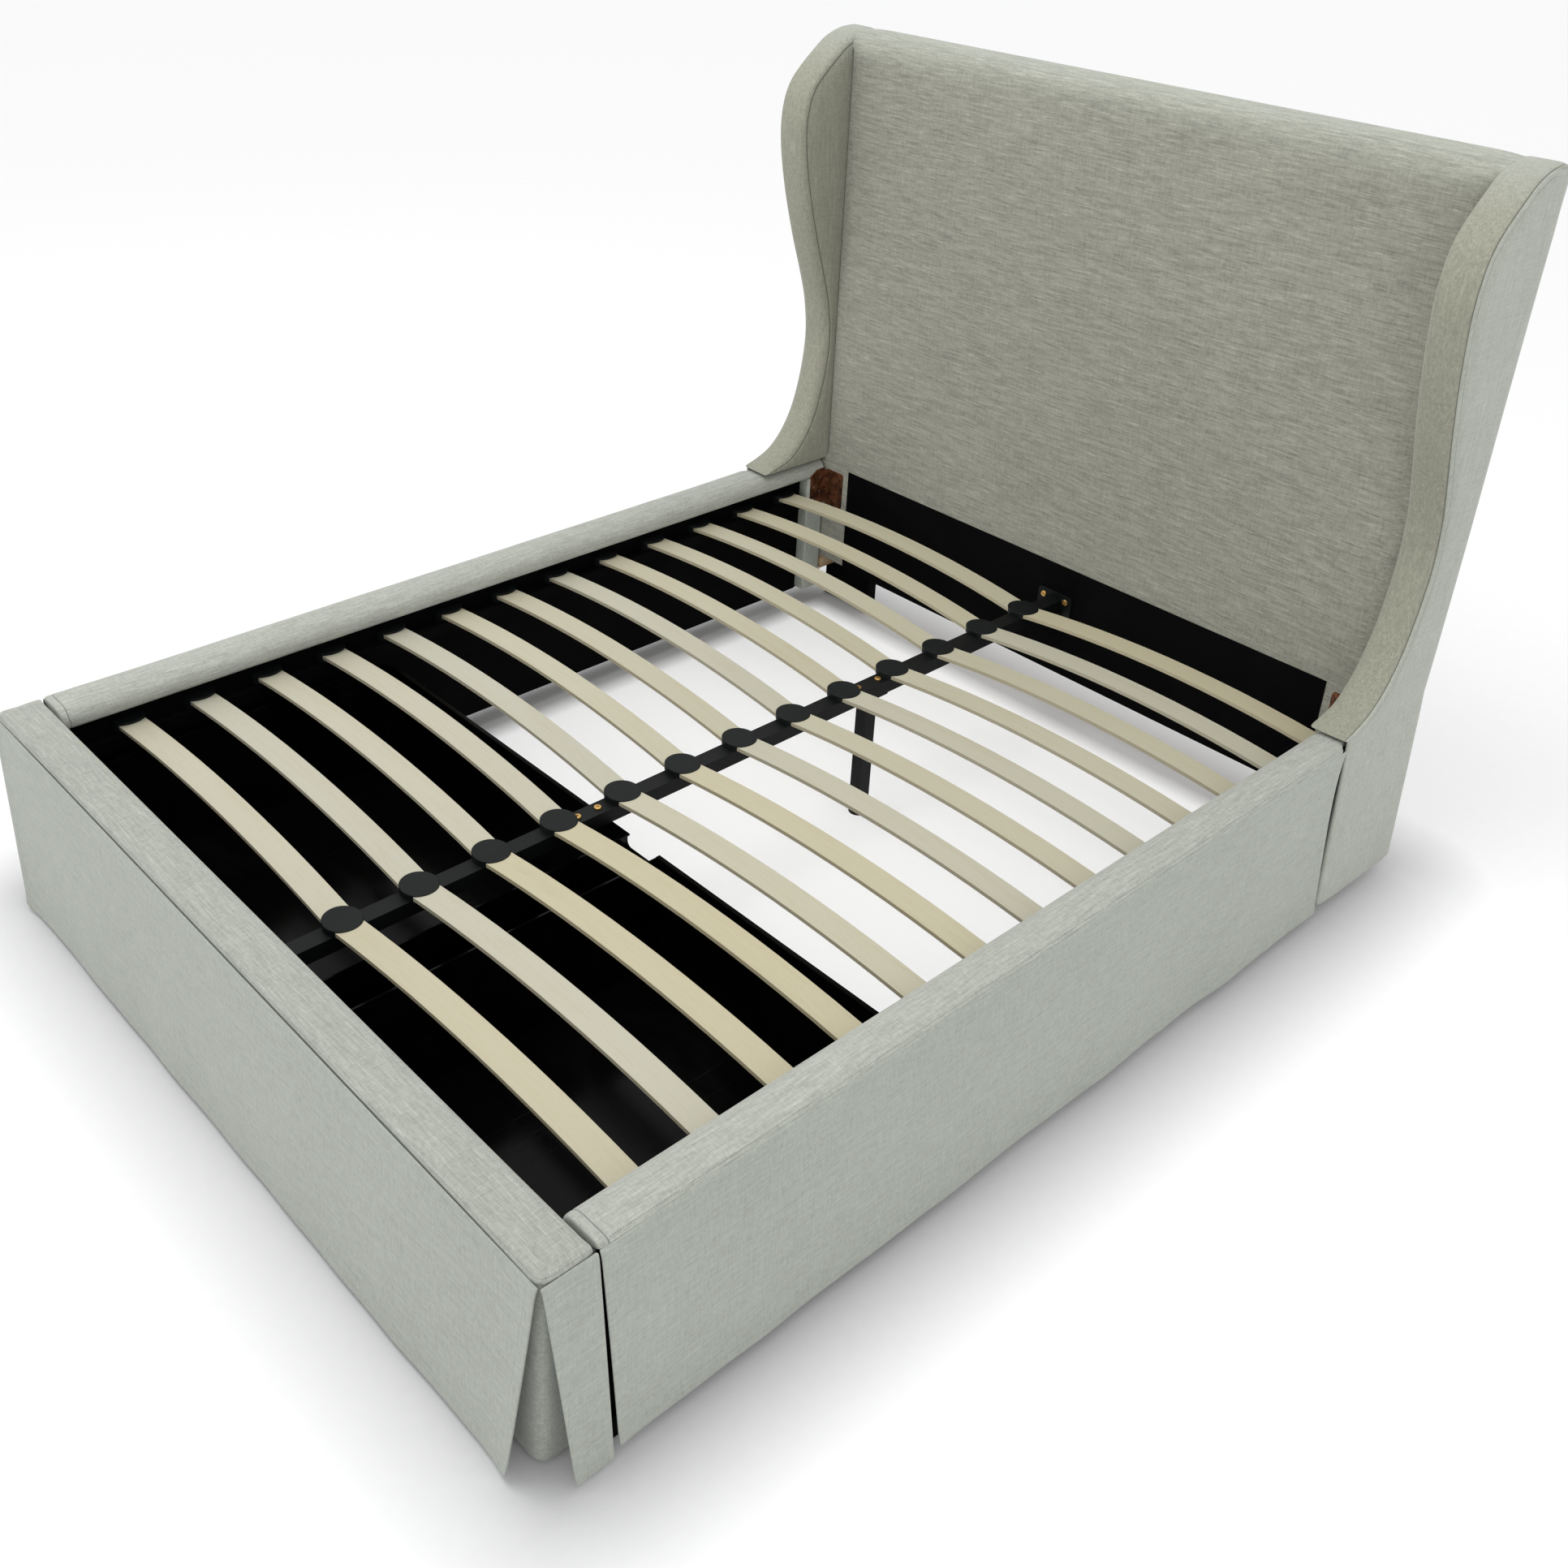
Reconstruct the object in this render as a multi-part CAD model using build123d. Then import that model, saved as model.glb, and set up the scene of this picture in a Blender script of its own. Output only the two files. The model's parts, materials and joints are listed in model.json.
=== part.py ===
"""Upholstered wingback storage bed with a skirt, a slatted base and a pull-out foot drawer.

Frame: millimetres, +Z up, origin on the floor under the middle of the bed.
-Y is the foot end, where the drawer pulls out; +Y is the head end; +X is the right-hand side
seen from the foot. The mattress well takes a mattress of 1524 by 2032 mm.
"""

from build123d import *
import os

os.makedirs("parts", exist_ok=True)

# ---------------------------------------------------------------- driving dimensions (mm)
# mattress well
WELL_HALF = 778.0        # inner face of the side rails' padded lip
HEAD_FACE = 1022.0       # front face of the headboard padding
FOOT_INNER = -1011.0     # inner face of the footboard, which is the drawer front
FOOT_OUTER = -1100.0     # front seam of the footboard

# heights
CROWN_Z = 420.0          # top of the side rails and of the footboard
SEAM_Z = 411.0           # seam that the skirts hang from
LIP_Z = 377.0            # lower edge of the rails' padded lip
SKIRT_Z = 12.0           # lower edge of the drawer's skirts
RAIL_HEM_Z = 27.0        # lower edge of the rails' skirts and of the headboard's side panels
BOARD_Z = 48.0           # lower edge of the boards inside the rails
HEAD_TOP = 1484.0        # crown of the headboard
HEAD_LOW = 135.0         # lower edge of the headboard's padding
CAP_TOP = 340.0          # top of the slat holders on the centre rail

# side rails, right-hand side; the left one is its mirror image
RAIL_OUT = 862.0         # outer face of the padded roll
BOARD_IN, BOARD_OUT = 812.0, 840.0
LINER_T = 3.0
SKIRT_T = 3.0
SKIRT_FLARE = 14.0       # how far the skirt swings out between seam and hem
RAIL_FOOT = -1006.0      # foot end of the side rails
RAIL_HEAD = 1018.0       # head end of the side rails
SLIT_Y = 806.0           # slit between the rail's skirt and the headboard's side panel

# slats
ROWS = 13
ROW_0 = -872.5
PITCH = 147.5
SLAT_W, SLAT_T = 53.0, 8.0
SLAT_X0, SLAT_X1 = 12.0, 800.0
SLAT_Z0, SLAT_Z1 = 335.5, 341.0
SLAT_BOW = 26.0

# centre rail, its joints and its leg
RAIL_W, RAIL_Z0, RAIL_Z1, TUBE_T = 36.0, 296.0, 326.0, 2.0
JOINT_Y = (-364.5, 382.0)
SCREW_Y = (-388.0, -341.0, 351.0, 412.0)     # one screw on each side of each joint
BRACKET_Y0, BRACKET_Y1 = 1016.5, 1020.5      # plate on the headboard for the rail's head end
CROSS_Y0, CROSS_Y1 = -1004.0, -981.0
LEG_W, LEG_Y, GLIDE_H = 30.0, 382.0, 8.0

# headboard
HEAD_BACK = 1119.0
HEAD_BACK_LOW = 1124.0   # the lower part of the back stands out a little
LOW_BACK_Z = 571.0
CORE_Y0, CORE_Y1 = 1062.0, 1080.0
WING_OUT = 858.0
WING_FRONT = [(802, 430), (845, 443), (885, 463), (922, 497), (952, 545), (972, 600),
              (986, 660), (994, 720), (994, 770), (988, 815), (980, 855), (958, 925),
              (932, 1003), (908, 1085), (892, 1150), (880, 1215), (876, 1258), (877, 1300),
              (886, 1342), (904, 1376), (934, 1406), (968, 1434), (1006, 1458), (1051, 1474)]
LINER_HALF, LINER_TOP = 693.0, 411.0

# drawer
TRAY_HALF, TRAY_BACK = 768.0, -315.0
TRAY_Z0, TRAY_Z1, TRAY_T = 45.0, 290.0, 4.0
RIB_X = (58.0, 148.0)
WHEEL_R, WHEEL_W, AXLE_R = 19.8, 18.0, 4.0
WHEEL_X, WHEEL_Y = 640.0, (-930.0, -400.0)


# ---------------------------------------------------------------- helpers
def block(x0, x1, y0, y1, z0, z1):
    """A box between two corners."""
    return Pos((x0 + x1) / 2, (y0 + y1) / 2, (z0 + z1) / 2) * Box(x1 - x0, y1 - y0, z1 - z0)


def along_y(points, y0, y1):
    """An X-Z outline drawn out from y0 to y1."""
    face = make_face(Polyline(*points, close=True))
    plane = Plane((0, y1, 0), x_dir=(1, 0, 0), z_dir=(0, -1, 0))
    return extrude(plane * face, amount=y1 - y0)


def along_x(points, x0, x1):
    """A Y-Z outline drawn out from x0 to x1."""
    face = make_face(Polyline(*points, close=True))
    plane = Plane((x0, 0, 0), x_dir=(0, 1, 0), z_dir=(1, 0, 0))
    return extrude(plane * face, amount=x1 - x0)


def tube_y(x0, x1, z0, z1, wall, y0, y1):
    """A rectangular tube along Y, open at both ends."""
    bore = block(x0 + wall, x1 - wall, y0 - 1, y1 + 1, z0 + wall, z1 - wall)
    return block(x0, x1, y0, y1, z0, z1) - bore


def peg(x, y, z0, z1, r):
    """An upright cylinder."""
    return Pos(x, y, (z0 + z1) / 2) * Cylinder(r, z1 - z0)


def row_y(i):
    """Y of slat row i."""
    return ROW_0 + PITCH * i


def left_of(shape):
    """The mirror image on the left-hand side."""
    return mirror(shape, about=Plane.YZ)


def group(shapes):
    """Separate solids kept in one node."""
    parts = []
    for s in shapes:
        parts.extend(s.solids())
    return Compound(children=parts)


def save(shape, name):
    """Write one node."""
    export_step(shape, f"parts/{name}.step")
    box = shape.bounding_box()
    print(f"{name:28s} {len(shape.solids()):3d} solids  X {box.min.X:8.1f} {box.max.X:8.1f}"
          f"  Y {box.min.Y:8.1f} {box.max.Y:8.1f}  Z {box.min.Z:7.1f} {box.max.Z:7.1f}")


# ---------------------------------------------------------------- slats and their holders
def slat(side, extra=0.0):
    """One sprung slat at Y 0, bowed upwards; extra makes the cutter for its holders."""
    xm = (SLAT_X0 + SLAT_X1) / 2
    zm = (SLAT_Z0 + SLAT_Z1) / 2 + SLAT_BOW
    top = ThreePointArc((SLAT_X0, SLAT_Z0), (xm, zm), (SLAT_X1, SLAT_Z1))
    low = ThreePointArc((SLAT_X0, SLAT_Z0 - SLAT_T), (xm, zm - SLAT_T), (SLAT_X1, SLAT_Z1 - SLAT_T))
    face = make_face([top, Line(top @ 1, low @ 1), low, Line(top @ 0, low @ 0)])
    body = extrude(Plane.XZ * face, amount=SLAT_W / 2 + extra, both=True)
    return body if side > 0 else left_of(body)


def slat_rows():
    """Every row is a left and a right slat."""
    pair = [slat(1), slat(-1)]
    for i in range(ROWS):
        save(group([Pos(0, row_y(i), 0) * s for s in pair]), f"slat_row_{i + 1:02d}")


def centre_cap():
    """Double slat holder that stands on the centre rail, an oval block with two pockets."""
    body = Pos(0, 0, RAIL_Z1) * extrude(Ellipse(36, 34), amount=CAP_TOP - RAIL_Z1)
    body = chamfer(body.faces().sort_by(Axis.Z)[-1].edges(), 1.0)
    return body - slat(1) - slat(-1)


def end_cap():
    """Half-oval slat holder that stands on the right-hand ledger."""
    body = Pos(809, 0, 326) * extrude(Ellipse(27, 33), amount=22)
    body = body - block(809, 840, -40, 40, 320, 360)
    return body - slat(1)


def holders():
    """All slat holders, one node for each line of them."""
    cap = centre_cap()
    save(group([Pos(0, row_y(i), 0) * cap for i in range(ROWS)]), "centre_caps")
    cap = end_cap()
    right = [Pos(0, row_y(i), 0) * cap for i in range(ROWS)]
    save(group(right), "end_caps_right")
    save(group([left_of(c) for c in right]), "end_caps_left")


# ---------------------------------------------------------------- centre rail
def centre_rail():
    """Three lengths of black steel tube, joined end to end over inner sleeves."""
    cuts = (CROSS_Y1, JOINT_Y[0], JOINT_Y[1], BRACKET_Y0)
    holes = [peg(0, y, RAIL_Z1 - 14, RAIL_Z1 + 1, 4.0) for y in SCREW_Y]
    h = RAIL_W / 2
    for k, name in enumerate(("foot", "mid", "head")):
        tube = tube_y(-h, h, RAIL_Z0, RAIL_Z1, TUBE_T, cuts[k], cuts[k + 1])
        for hole in holes:
            tube = tube - hole
        save(tube, f"centre_rail_{name}")
    sleeves = []
    for y in JOINT_Y:
        body = tube_y(-h + TUBE_T, h - TUBE_T, RAIL_Z0 + TUBE_T, RAIL_Z1 - TUBE_T, 3.0, y - 60, y + 60)
        for hole in holes:
            body = body - hole
        sleeves.append(body)
    save(group(sleeves), "rail_sleeves")


def rail_screws():
    """Socket button-head screws: two over each joint, two through the head bracket."""
    out = []
    for y in SCREW_Y:
        head = peg(0, y, RAIL_Z1, RAIL_Z1 + 4, 7.5)
        head = fillet(head.faces().sort_by(Axis.Z)[-1].edges(), 2.0)
        head = head - extrude(Pos(0, y, RAIL_Z1 + 1.5) * RegularPolygon(2.6, 6), amount=5)
        out.append(head + peg(0, y, RAIL_Z1 - 14, RAIL_Z1, 4.0))
    for x in (-31.0, 31.0):
        head = Pos(x, BRACKET_Y0 - 2, 326.0) * Rot(90, 0, 0) * Cylinder(7.5, 4)
        head = fillet(head.faces().sort_by(Axis.Y)[0].edges(), 2.0)
        head = head - Pos(x, BRACKET_Y0 - 3.5, 326.0) * Rot(90, 0, 0) * Cylinder(2.6, 3)
        shank = Pos(x, BRACKET_Y0 + 9, 326.0) * Rot(90, 0, 0) * Cylinder(4.0, 18)
        out.append(head + shank)
    save(group(out), "rail_screws")


def head_bracket():
    """Steel plate on the headboard that carries the head end of the centre rail."""
    plate = block(-48, 48, BRACKET_Y0, BRACKET_Y1, 286, 342)
    plate = fillet(plate.edges().filter_by(Axis.Y), 8)
    for x in (-31.0, 31.0):
        plate = plate - Pos(x, BRACKET_Y0, 326) * Rot(90, 0, 0) * Cylinder(4.0, 10)
    shelf = block(-26, 26, BRACKET_Y0 - 50, BRACKET_Y0, RAIL_Z0 - 4, RAIL_Z0)
    save(plate + shelf, "head_bracket")


def cross_bar():
    """Steel tube that ties the foot ends of both rails, with a plate at each end."""
    bar = block(-805, 805, CROSS_Y0, CROSS_Y1, RAIL_Z0, RAIL_Z1)
    bar = bar - block(-806, 806, CROSS_Y0 + 2, CROSS_Y1 - 2, RAIL_Z0 + 2, RAIL_Z1 - 2)
    for s in (-1, 1):
        plate = block(min(s * 805, s * 809), max(s * 805, s * 809), CROSS_Y0, CROSS_Y1, RAIL_Z0, 342)
        bar = bar + plate
    save(bar, "foot_cross_bar")


def leg():
    """Square steel leg under the second joint, and the round glide that it stands on."""
    h = LEG_W / 2
    post = block(-h, h, LEG_Y - h, LEG_Y + h, GLIDE_H, RAIL_Z0 - 3)
    post = post - block(-h + 1.5, h - 1.5, LEG_Y - h + 1.5, LEG_Y + h - 1.5, GLIDE_H - 1, RAIL_Z0 - 3)
    plate = block(-18, 18, LEG_Y - 45, LEG_Y + 45, RAIL_Z0 - 3, RAIL_Z0)
    save(post + plate, "centre_leg")
    disc = peg(0, LEG_Y, 0, GLIDE_H, 21)
    disc = fillet(disc.faces().sort_by(Axis.Z)[-1].edges(), 3)
    plug = block(-h + 1.5, h - 1.5, LEG_Y - h + 1.5, LEG_Y + h - 1.5, GLIDE_H, GLIDE_H + 20)
    save(disc + plug, "centre_leg_glide")


# ---------------------------------------------------------------- side rails
def rail_board():
    """Board inside the right-hand rail."""
    return block(BOARD_IN, BOARD_OUT, RAIL_FOOT + 6, RAIL_HEAD, BOARD_Z, 400)


def rail_pad():
    """Padded roll over the top of the board, with an upholstered post at the head end."""
    outline = [(WELL_HALF, LIP_Z), (WELL_HALF, CROWN_Z), (RAIL_OUT, CROWN_Z), (RAIL_OUT, 396),
               (BOARD_OUT, 396), (BOARD_OUT, 400), (BOARD_IN, 400), (BOARD_IN, LIP_Z)]
    roll = along_y(outline, RAIL_FOOT, RAIL_HEAD)
    top = roll.edges().filter_by(Axis.Y).sort_by(Axis.Z)[-2:]
    inner = top.sort_by(Axis.X)[0]
    roll = fillet(inner, 30)
    outer = roll.edges().filter_by(Axis.Y).sort_by(Axis.X)[-2:].sort_by(Axis.Z)[-1]
    roll = fillet(outer, 10)
    roll = roll - block(845.5, 900, SLIT_Y, RAIL_HEAD + 1, 390, 430)
    end = block(BOARD_IN, BOARD_OUT, RAIL_FOOT, RAIL_FOOT + 6, BOARD_Z, 400)
    post = block(WELL_HALF, BOARD_IN, 960, RAIL_HEAD, BOARD_Z + 4, LIP_Z)
    return roll + end + post


def skirt_side(y0, y1, hem_z=RAIL_HEM_Z):
    """Flat skirt on the right-hand side, hanging from the seam and swinging out a little."""
    a = RAIL_OUT + 0.5
    b = a + SKIRT_FLARE * (SEAM_Z - hem_z) / (SEAM_Z - SKIRT_Z)
    outline = [(a, SEAM_Z), (a + SKIRT_T, SEAM_Z), (b + SKIRT_T, hem_z), (b, hem_z)]
    return along_y(outline, y0, y1)


def liner():
    """Black lining board on the inner face of the rail's board."""
    return block(BOARD_IN - LINER_T, BOARD_IN, RAIL_FOOT + 6, 958, BOARD_Z, LIP_Z - 0.5)


def ledger():
    """Black batten that the end holders of the slats stand on."""
    return block(780, 809, -975, 956, 300, 326)


def both_sides(shape, name):
    """Write a right-hand piece and its mirror image."""
    save(shape, f"{name}_right")
    save(left_of(shape), f"{name}_left")


def rail_feet():
    """Black blocks under the foot ends of the rails."""
    foot = block(804, 848, -996, -926, 0, BOARD_Z)
    foot = fillet(foot.edges().filter_by(Axis.Z), 4)
    save(group([foot, left_of(foot)]), "rail_feet")


# ---------------------------------------------------------------- bed hooks at the head corners
def hooks():
    """Hooked steel plates on the rails, and the slotted plates on the headboard they drop into."""
    leaf = along_x([(968, 300), (1018, 300), (1018, 398), (990, 398), (968, 384)], 775, 778)
    for y, z in ((980, 318), (980, 350), (1002, 334), (1002, 374)):
        leaf = leaf - Pos(776, y, z) * Rot(0, 90, 0) * Cylinder(3.2, 8)
    tab = block(745, 775, 1014.5, 1018, 304, 392)
    tab = tab - block(744, 757, 1014, 1019, 328, 346) - block(744, 757, 1014, 1019, 366, 380)
    plate = leaf + tab
    save(group([plate, left_of(plate)]), "bed_hooks")
    catch = block(712, 772, 1018.2, 1022, 298, 396)
    catch = fillet(catch.edges().filter_by(Axis.Y), 6)
    for z in (312, 347, 382):
        catch = catch - Pos(722, 1020, z) * Rot(90, 0, 0) * Cylinder(3.2, 10)
    save(group([catch, left_of(catch)]), "hook_receivers")


# ---------------------------------------------------------------- headboard
def wing_core():
    """Plywood panel inside the right-hand wing, 26 mm in from its front edge."""
    front = [(y + 30, z) for y, z in WING_FRONT if 480 < z < 1400]
    outline = [(CORE_Y1 + 10, 450), (980, 450)] + front + [(1060, 1440), (CORE_Y1 + 10, 1440)]
    return along_x(outline, 806, 824)


def wing_pad():
    """Padded right-hand wing: a thick panel with a waisted front edge."""
    front = Spline([(float(y), float(z)) for y, z in WING_FRONT])
    last = WING_FRONT[-1]
    first = WING_FRONT[0]
    rest = Polyline(last, (HEAD_BACK - 20, 1478), (HEAD_BACK, 1462), (HEAD_BACK, 421.0),
                    (first[0] + 2, 421.0), first)
    plane = Plane((WELL_HALF, 0, 0), x_dir=(0, 1, 0), z_dir=(1, 0, 0))
    body = extrude(plane * make_face([front, rest]), amount=WING_OUT - WELL_HALF)
    return body - wing_core()


def headboard():
    """Core, padding, back, lining panel, wings, side panels and legs of the headboard."""
    core = block(-776, 776, CORE_Y0, CORE_Y1, HEAD_LOW, 1440)
    for x0, x1 in ((-776, -700), (700, 776)):
        core = core + block(x0, x1, CORE_Y1, 1106, HEAD_LOW, 1438)
    for z0, z1 in ((HEAD_LOW, 205), (560, 620), (1378, 1438)):
        core = core + block(-776, 776, CORE_Y1, 1106, z0, z1)
    posts = block(779, 844, 1026, 1106, 100, 420)
    save(group([core, wing_core(), left_of(wing_core()), posts, left_of(posts)]), "headboard_frame")

    outline = [(HEAD_FACE, HEAD_LOW), (HEAD_FACE, 1446), (1030, 1466), (1046, 1479), (1064, HEAD_TOP),
               (1092, HEAD_TOP), (1108, 1478), (HEAD_BACK, 1462), (HEAD_BACK, 1440.5), (CORE_Y0, 1440.5),
               (CORE_Y0, HEAD_LOW)]
    pad = along_x(outline, -777.5, 777.5)
    for x in (-31.0, 31.0):
        pad = pad - Pos(x, 1028, 326) * Rot(90, 0, 0) * Cylinder(4.2, 16)
    save(pad, "headboard_face_pad")

    upper = block(-777.5, 777.5, 1106, HEAD_BACK, LOW_BACK_Z, 1440)
    lower = block(-777.5, 777.5, 1106, HEAD_BACK_LOW, HEAD_LOW, LOW_BACK_Z)
    ears = block(777.5, WING_OUT, HEAD_BACK + 0.5, HEAD_BACK_LOW, HEAD_LOW, LOW_BACK_Z)
    save(upper + lower + ears + left_of(ears), "headboard_back_panel")

    panel = block(-LINER_HALF, LINER_HALF, HEAD_FACE - 1.5, HEAD_FACE, HEAD_LOW, LINER_TOP)
    for x in (-31.0, 31.0):
        panel = panel - Pos(x, 1021, 326) * Rot(90, 0, 0) * Cylinder(4.2, 6)
    save(panel, "headboard_liner_panel")

    both_sides(wing_pad(), "wing_pad")

    outline = [(846, 420.5), (RAIL_OUT, 420.5), (RAIL_OUT + SKIRT_FLARE + 3, RAIL_HEM_Z), (846, RAIL_HEM_Z)]
    side = along_y(outline, SLIT_Y + 4, HEAD_BACK)
    both_sides(side, "headboard_side_panel")

    foot = block(642, 805, 1078, 1106, 0, 100) + block(642, 776, 1078 + 2, 1106, 100, HEAD_LOW)
    both_sides(foot, "headboard_leg")


# ---------------------------------------------------------------- drawer
def drawer_front():
    """The footboard: a box, its padded roll, and the skirts that hang from it."""
    box = block(-790, 790, -1056, FOOT_INNER, 30, 396)
    box = box - block(-778, 778, -1044, FOOT_INNER - 12, 29, 384)
    save(box, "drawer_front_box")

    roll = block(-RAIL_OUT, RAIL_OUT, FOOT_OUTER, FOOT_INNER, 396, CROWN_Z)
    corners = roll.edges().filter_by(Axis.Z).group_by(Axis.Y)[0]
    roll = fillet(corners, 20)
    inner = roll.faces().sort_by(Axis.Z)[-1].edges().sort_by(Axis.Y)[-1]
    roll = fillet(inner, 16)
    save(roll, "drawer_front_pad")

    # front skirt: a trapezium that leans out, so that the corners open towards the floor
    lean = 21.0
    outline = [(-858, SEAM_Z), (858, SEAM_Z), (806, SKIRT_Z), (-806, SKIRT_Z)]
    wide = along_y(outline, -1140, -1090)
    slab = along_x([(FOOT_OUTER - 0.3, SEAM_Z), (FOOT_OUTER - 0.3 - SKIRT_T, SEAM_Z),
                    (FOOT_OUTER - lean - SKIRT_T, SKIRT_Z), (FOOT_OUTER - lean, SKIRT_Z)], -870, 870)
    save(slab & wide, "drawer_front_skirt")

    side = skirt_side(-1130, -1013.5, SKIRT_Z)
    keep = along_x([(-1096, SEAM_Z + 1), (-1013.5, SEAM_Z + 1), (-1013.5, SKIRT_Z - 1), (-1066, SKIRT_Z - 1)],
                   840, 900)
    side = side & keep
    save(group([side, left_of(side)]), "drawer_side_skirts")

    # gusset behind each open corner: it hangs from under the roll and leans back towards the floor
    t = 3.0
    hi = [(770, -1096), (846, -1096), (858, -1084), (858, -1020), (858 - t, -1020), (858 - t, -1082.8),
          (844.8, -1096 + t), (770, -1096 + t)]
    lo = [(744, -1084), (812, -1084), (824, -1072), (824, -1020), (824 - t, -1020), (824 - t, -1070.8),
          (810.8, -1084 + t), (744, -1084 + t)]
    f0 = Pos(0, 0, 396) * make_face(Polyline(*hi, close=True))
    f1 = Pos(0, 0, 14) * make_face(Polyline(*lo, close=True))
    gusset = loft([f1, f0], ruled=True)
    save(group([gusset, left_of(gusset)]), "drawer_pleat_gussets")


def drawer_tray():
    """Moulded tray with a rolled rim, two upright ribs and a notch in its rear wall."""
    y0 = FOOT_INNER
    width = 2 * TRAY_HALF
    length = TRAY_BACK - y0
    mid = (y0 + TRAY_BACK) / 2
    lip = 5.0
    wall = Pos(0, mid, TRAY_Z0) * extrude(RectangleRounded(width - 2 * lip, length - 2 * lip, 26),
                                          amount=TRAY_Z1 - TRAY_Z0)
    rim = Pos(0, mid, TRAY_Z1 - 4) * extrude(RectangleRounded(width, length, 31), amount=4)
    inside = Pos(0, mid, TRAY_Z0 + TRAY_T) * extrude(
        RectangleRounded(width - 2 * lip - 2 * TRAY_T, length - 2 * lip - 2 * TRAY_T, 22), amount=300)
    tray = wall + rim - inside
    for x in RIB_X:
        tray = tray + block(x, x + TRAY_T, y0 + lip + 1, TRAY_BACK - lip - 1, TRAY_Z0 + 1, TRAY_Z1 - 1)
    notch = block(RIB_X[0] + TRAY_T, RIB_X[1], TRAY_BACK - 14, TRAY_BACK + 5, TRAY_Z1 - 24, TRAY_Z1 + 20)
    notch = fillet(notch.edges().filter_by(Axis.Y).group_by(Axis.Z)[0], 12)
    save(tray - notch, "drawer_tray")


def tray_brackets():
    """Steel plates that screw the tray's front wall to the box of the drawer front."""
    out = []
    for x in (-560.0, -200.0, 320.0, 600.0):
        plate = block(x - 22, x + 22, -1002, -999, 90, 140)
        for dz in (-14, 14):
            plate = plate + Pos(x, -1000, 115 + dz) * Rot(90, 0, 0) * Cylinder(5, 4)
        out.append(plate)
    save(group(out), "tray_brackets")


def castors():
    """Four fixed castors under the tray: a fork with its axle, and a wheel that turns on it."""
    forks = []
    for sx in (-1, 1):
        for wy in WHEEL_Y:
            x = sx * WHEEL_X
            fork = block(x - 22, x + 22, wy - 26, wy + 26, TRAY_Z0 - 3, TRAY_Z0)
            for dx in (-14.0, 11.0):
                cheek = block(x + dx, x + dx + 3, wy - 13, wy + 13, 11, TRAY_Z0 - 2)
                fork = fork + cheek
            fork = fork + Pos(x, wy, WHEEL_R) * Rot(0, 90, 0) * Cylinder(AXLE_R, 30)
            forks.append(fork)
            wheel = Pos(x, wy, WHEEL_R) * Rot(0, 90, 0) * Cylinder(WHEEL_R, WHEEL_W)
            wheel = fillet(wheel.edges().filter_by(GeomType.CIRCLE), 2.0)
            wheel = wheel - Pos(x, wy, WHEEL_R) * Rot(0, 90, 0) * Cylinder(AXLE_R + 0.05, WHEEL_W + 2)
            end = "rear" if wy == WHEEL_Y[1] else "front"
            hand = "left" if sx < 0 else "right"
            save(wheel, f"castor_wheel_{end}_{hand}")
    save(group(forks), "castor_forks")


# ---------------------------------------------------------------- everything
slat_rows()
holders()
centre_rail()
rail_screws()
head_bracket()
cross_bar()
leg()
both_sides(rail_board(), "rail_board")
both_sides(rail_pad(), "rail_pad")
both_sides(skirt_side(RAIL_FOOT + 2, SLIT_Y), "rail_skirt")
both_sides(liner(), "rail_liner")
both_sides(ledger(), "slat_ledger")
rail_feet()
hooks()
headboard()
drawer_front()
drawer_tray()
tray_brackets()
castors()
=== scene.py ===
# %% [markdown]
# # An upholstered wingback bed with a foot drawer
# The hard pieces of the bed, such as its slats, tubes, tray and boards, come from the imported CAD
# model and only get finishes here. Everything covered in cloth is modelled here: the headboard, its
# two wings, the padded rails and the skirts. This script reads the frame, adds those pieces, and
# gives each surface a material made of nodes.

# %% load the frame
import json
import math

import bpy
import numpy as np
from mathutils import Matrix, Vector, noise
from mathutils.bvhtree import BVHTree


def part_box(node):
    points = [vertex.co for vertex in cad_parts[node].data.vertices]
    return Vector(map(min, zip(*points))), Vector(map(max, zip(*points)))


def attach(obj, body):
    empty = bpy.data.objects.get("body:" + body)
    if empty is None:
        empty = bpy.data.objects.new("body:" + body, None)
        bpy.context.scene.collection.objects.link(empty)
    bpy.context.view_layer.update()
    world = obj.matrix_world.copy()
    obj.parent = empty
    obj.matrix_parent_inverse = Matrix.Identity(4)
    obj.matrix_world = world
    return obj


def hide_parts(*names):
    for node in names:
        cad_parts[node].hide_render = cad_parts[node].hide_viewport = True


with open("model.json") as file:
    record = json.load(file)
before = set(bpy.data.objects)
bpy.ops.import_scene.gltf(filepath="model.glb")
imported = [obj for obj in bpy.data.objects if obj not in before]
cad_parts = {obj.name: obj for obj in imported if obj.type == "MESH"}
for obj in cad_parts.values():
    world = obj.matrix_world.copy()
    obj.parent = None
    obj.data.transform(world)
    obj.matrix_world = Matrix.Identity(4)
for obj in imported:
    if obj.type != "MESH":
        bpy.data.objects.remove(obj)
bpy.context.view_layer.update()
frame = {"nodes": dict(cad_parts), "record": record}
nodes = frame["nodes"]
scene = bpy.context.scene

# %% [markdown]
# ## Camera
# A bed is best shown from a little above head height, off one corner of the foot end, so that the
# slats and the headboard are both seen. The lens is a little wider than a normal one, which makes the
# near corner loom. The camera is aimed by its turn round the bed, its tilt and a small roll, because
# these can be read off a tripod's head and changed one at a time.

# %% camera
CAMERA_AT = Vector((1.980, -1.856, 2.056))
CAMERA_TURN, CAMERA_TILT, CAMERA_ROLL = 45.92, 29.64, 2.55
LENS_MM, SENSOR_MM = 37.27, 36.0
SHIFT = (0.0151, -0.0762)


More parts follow.
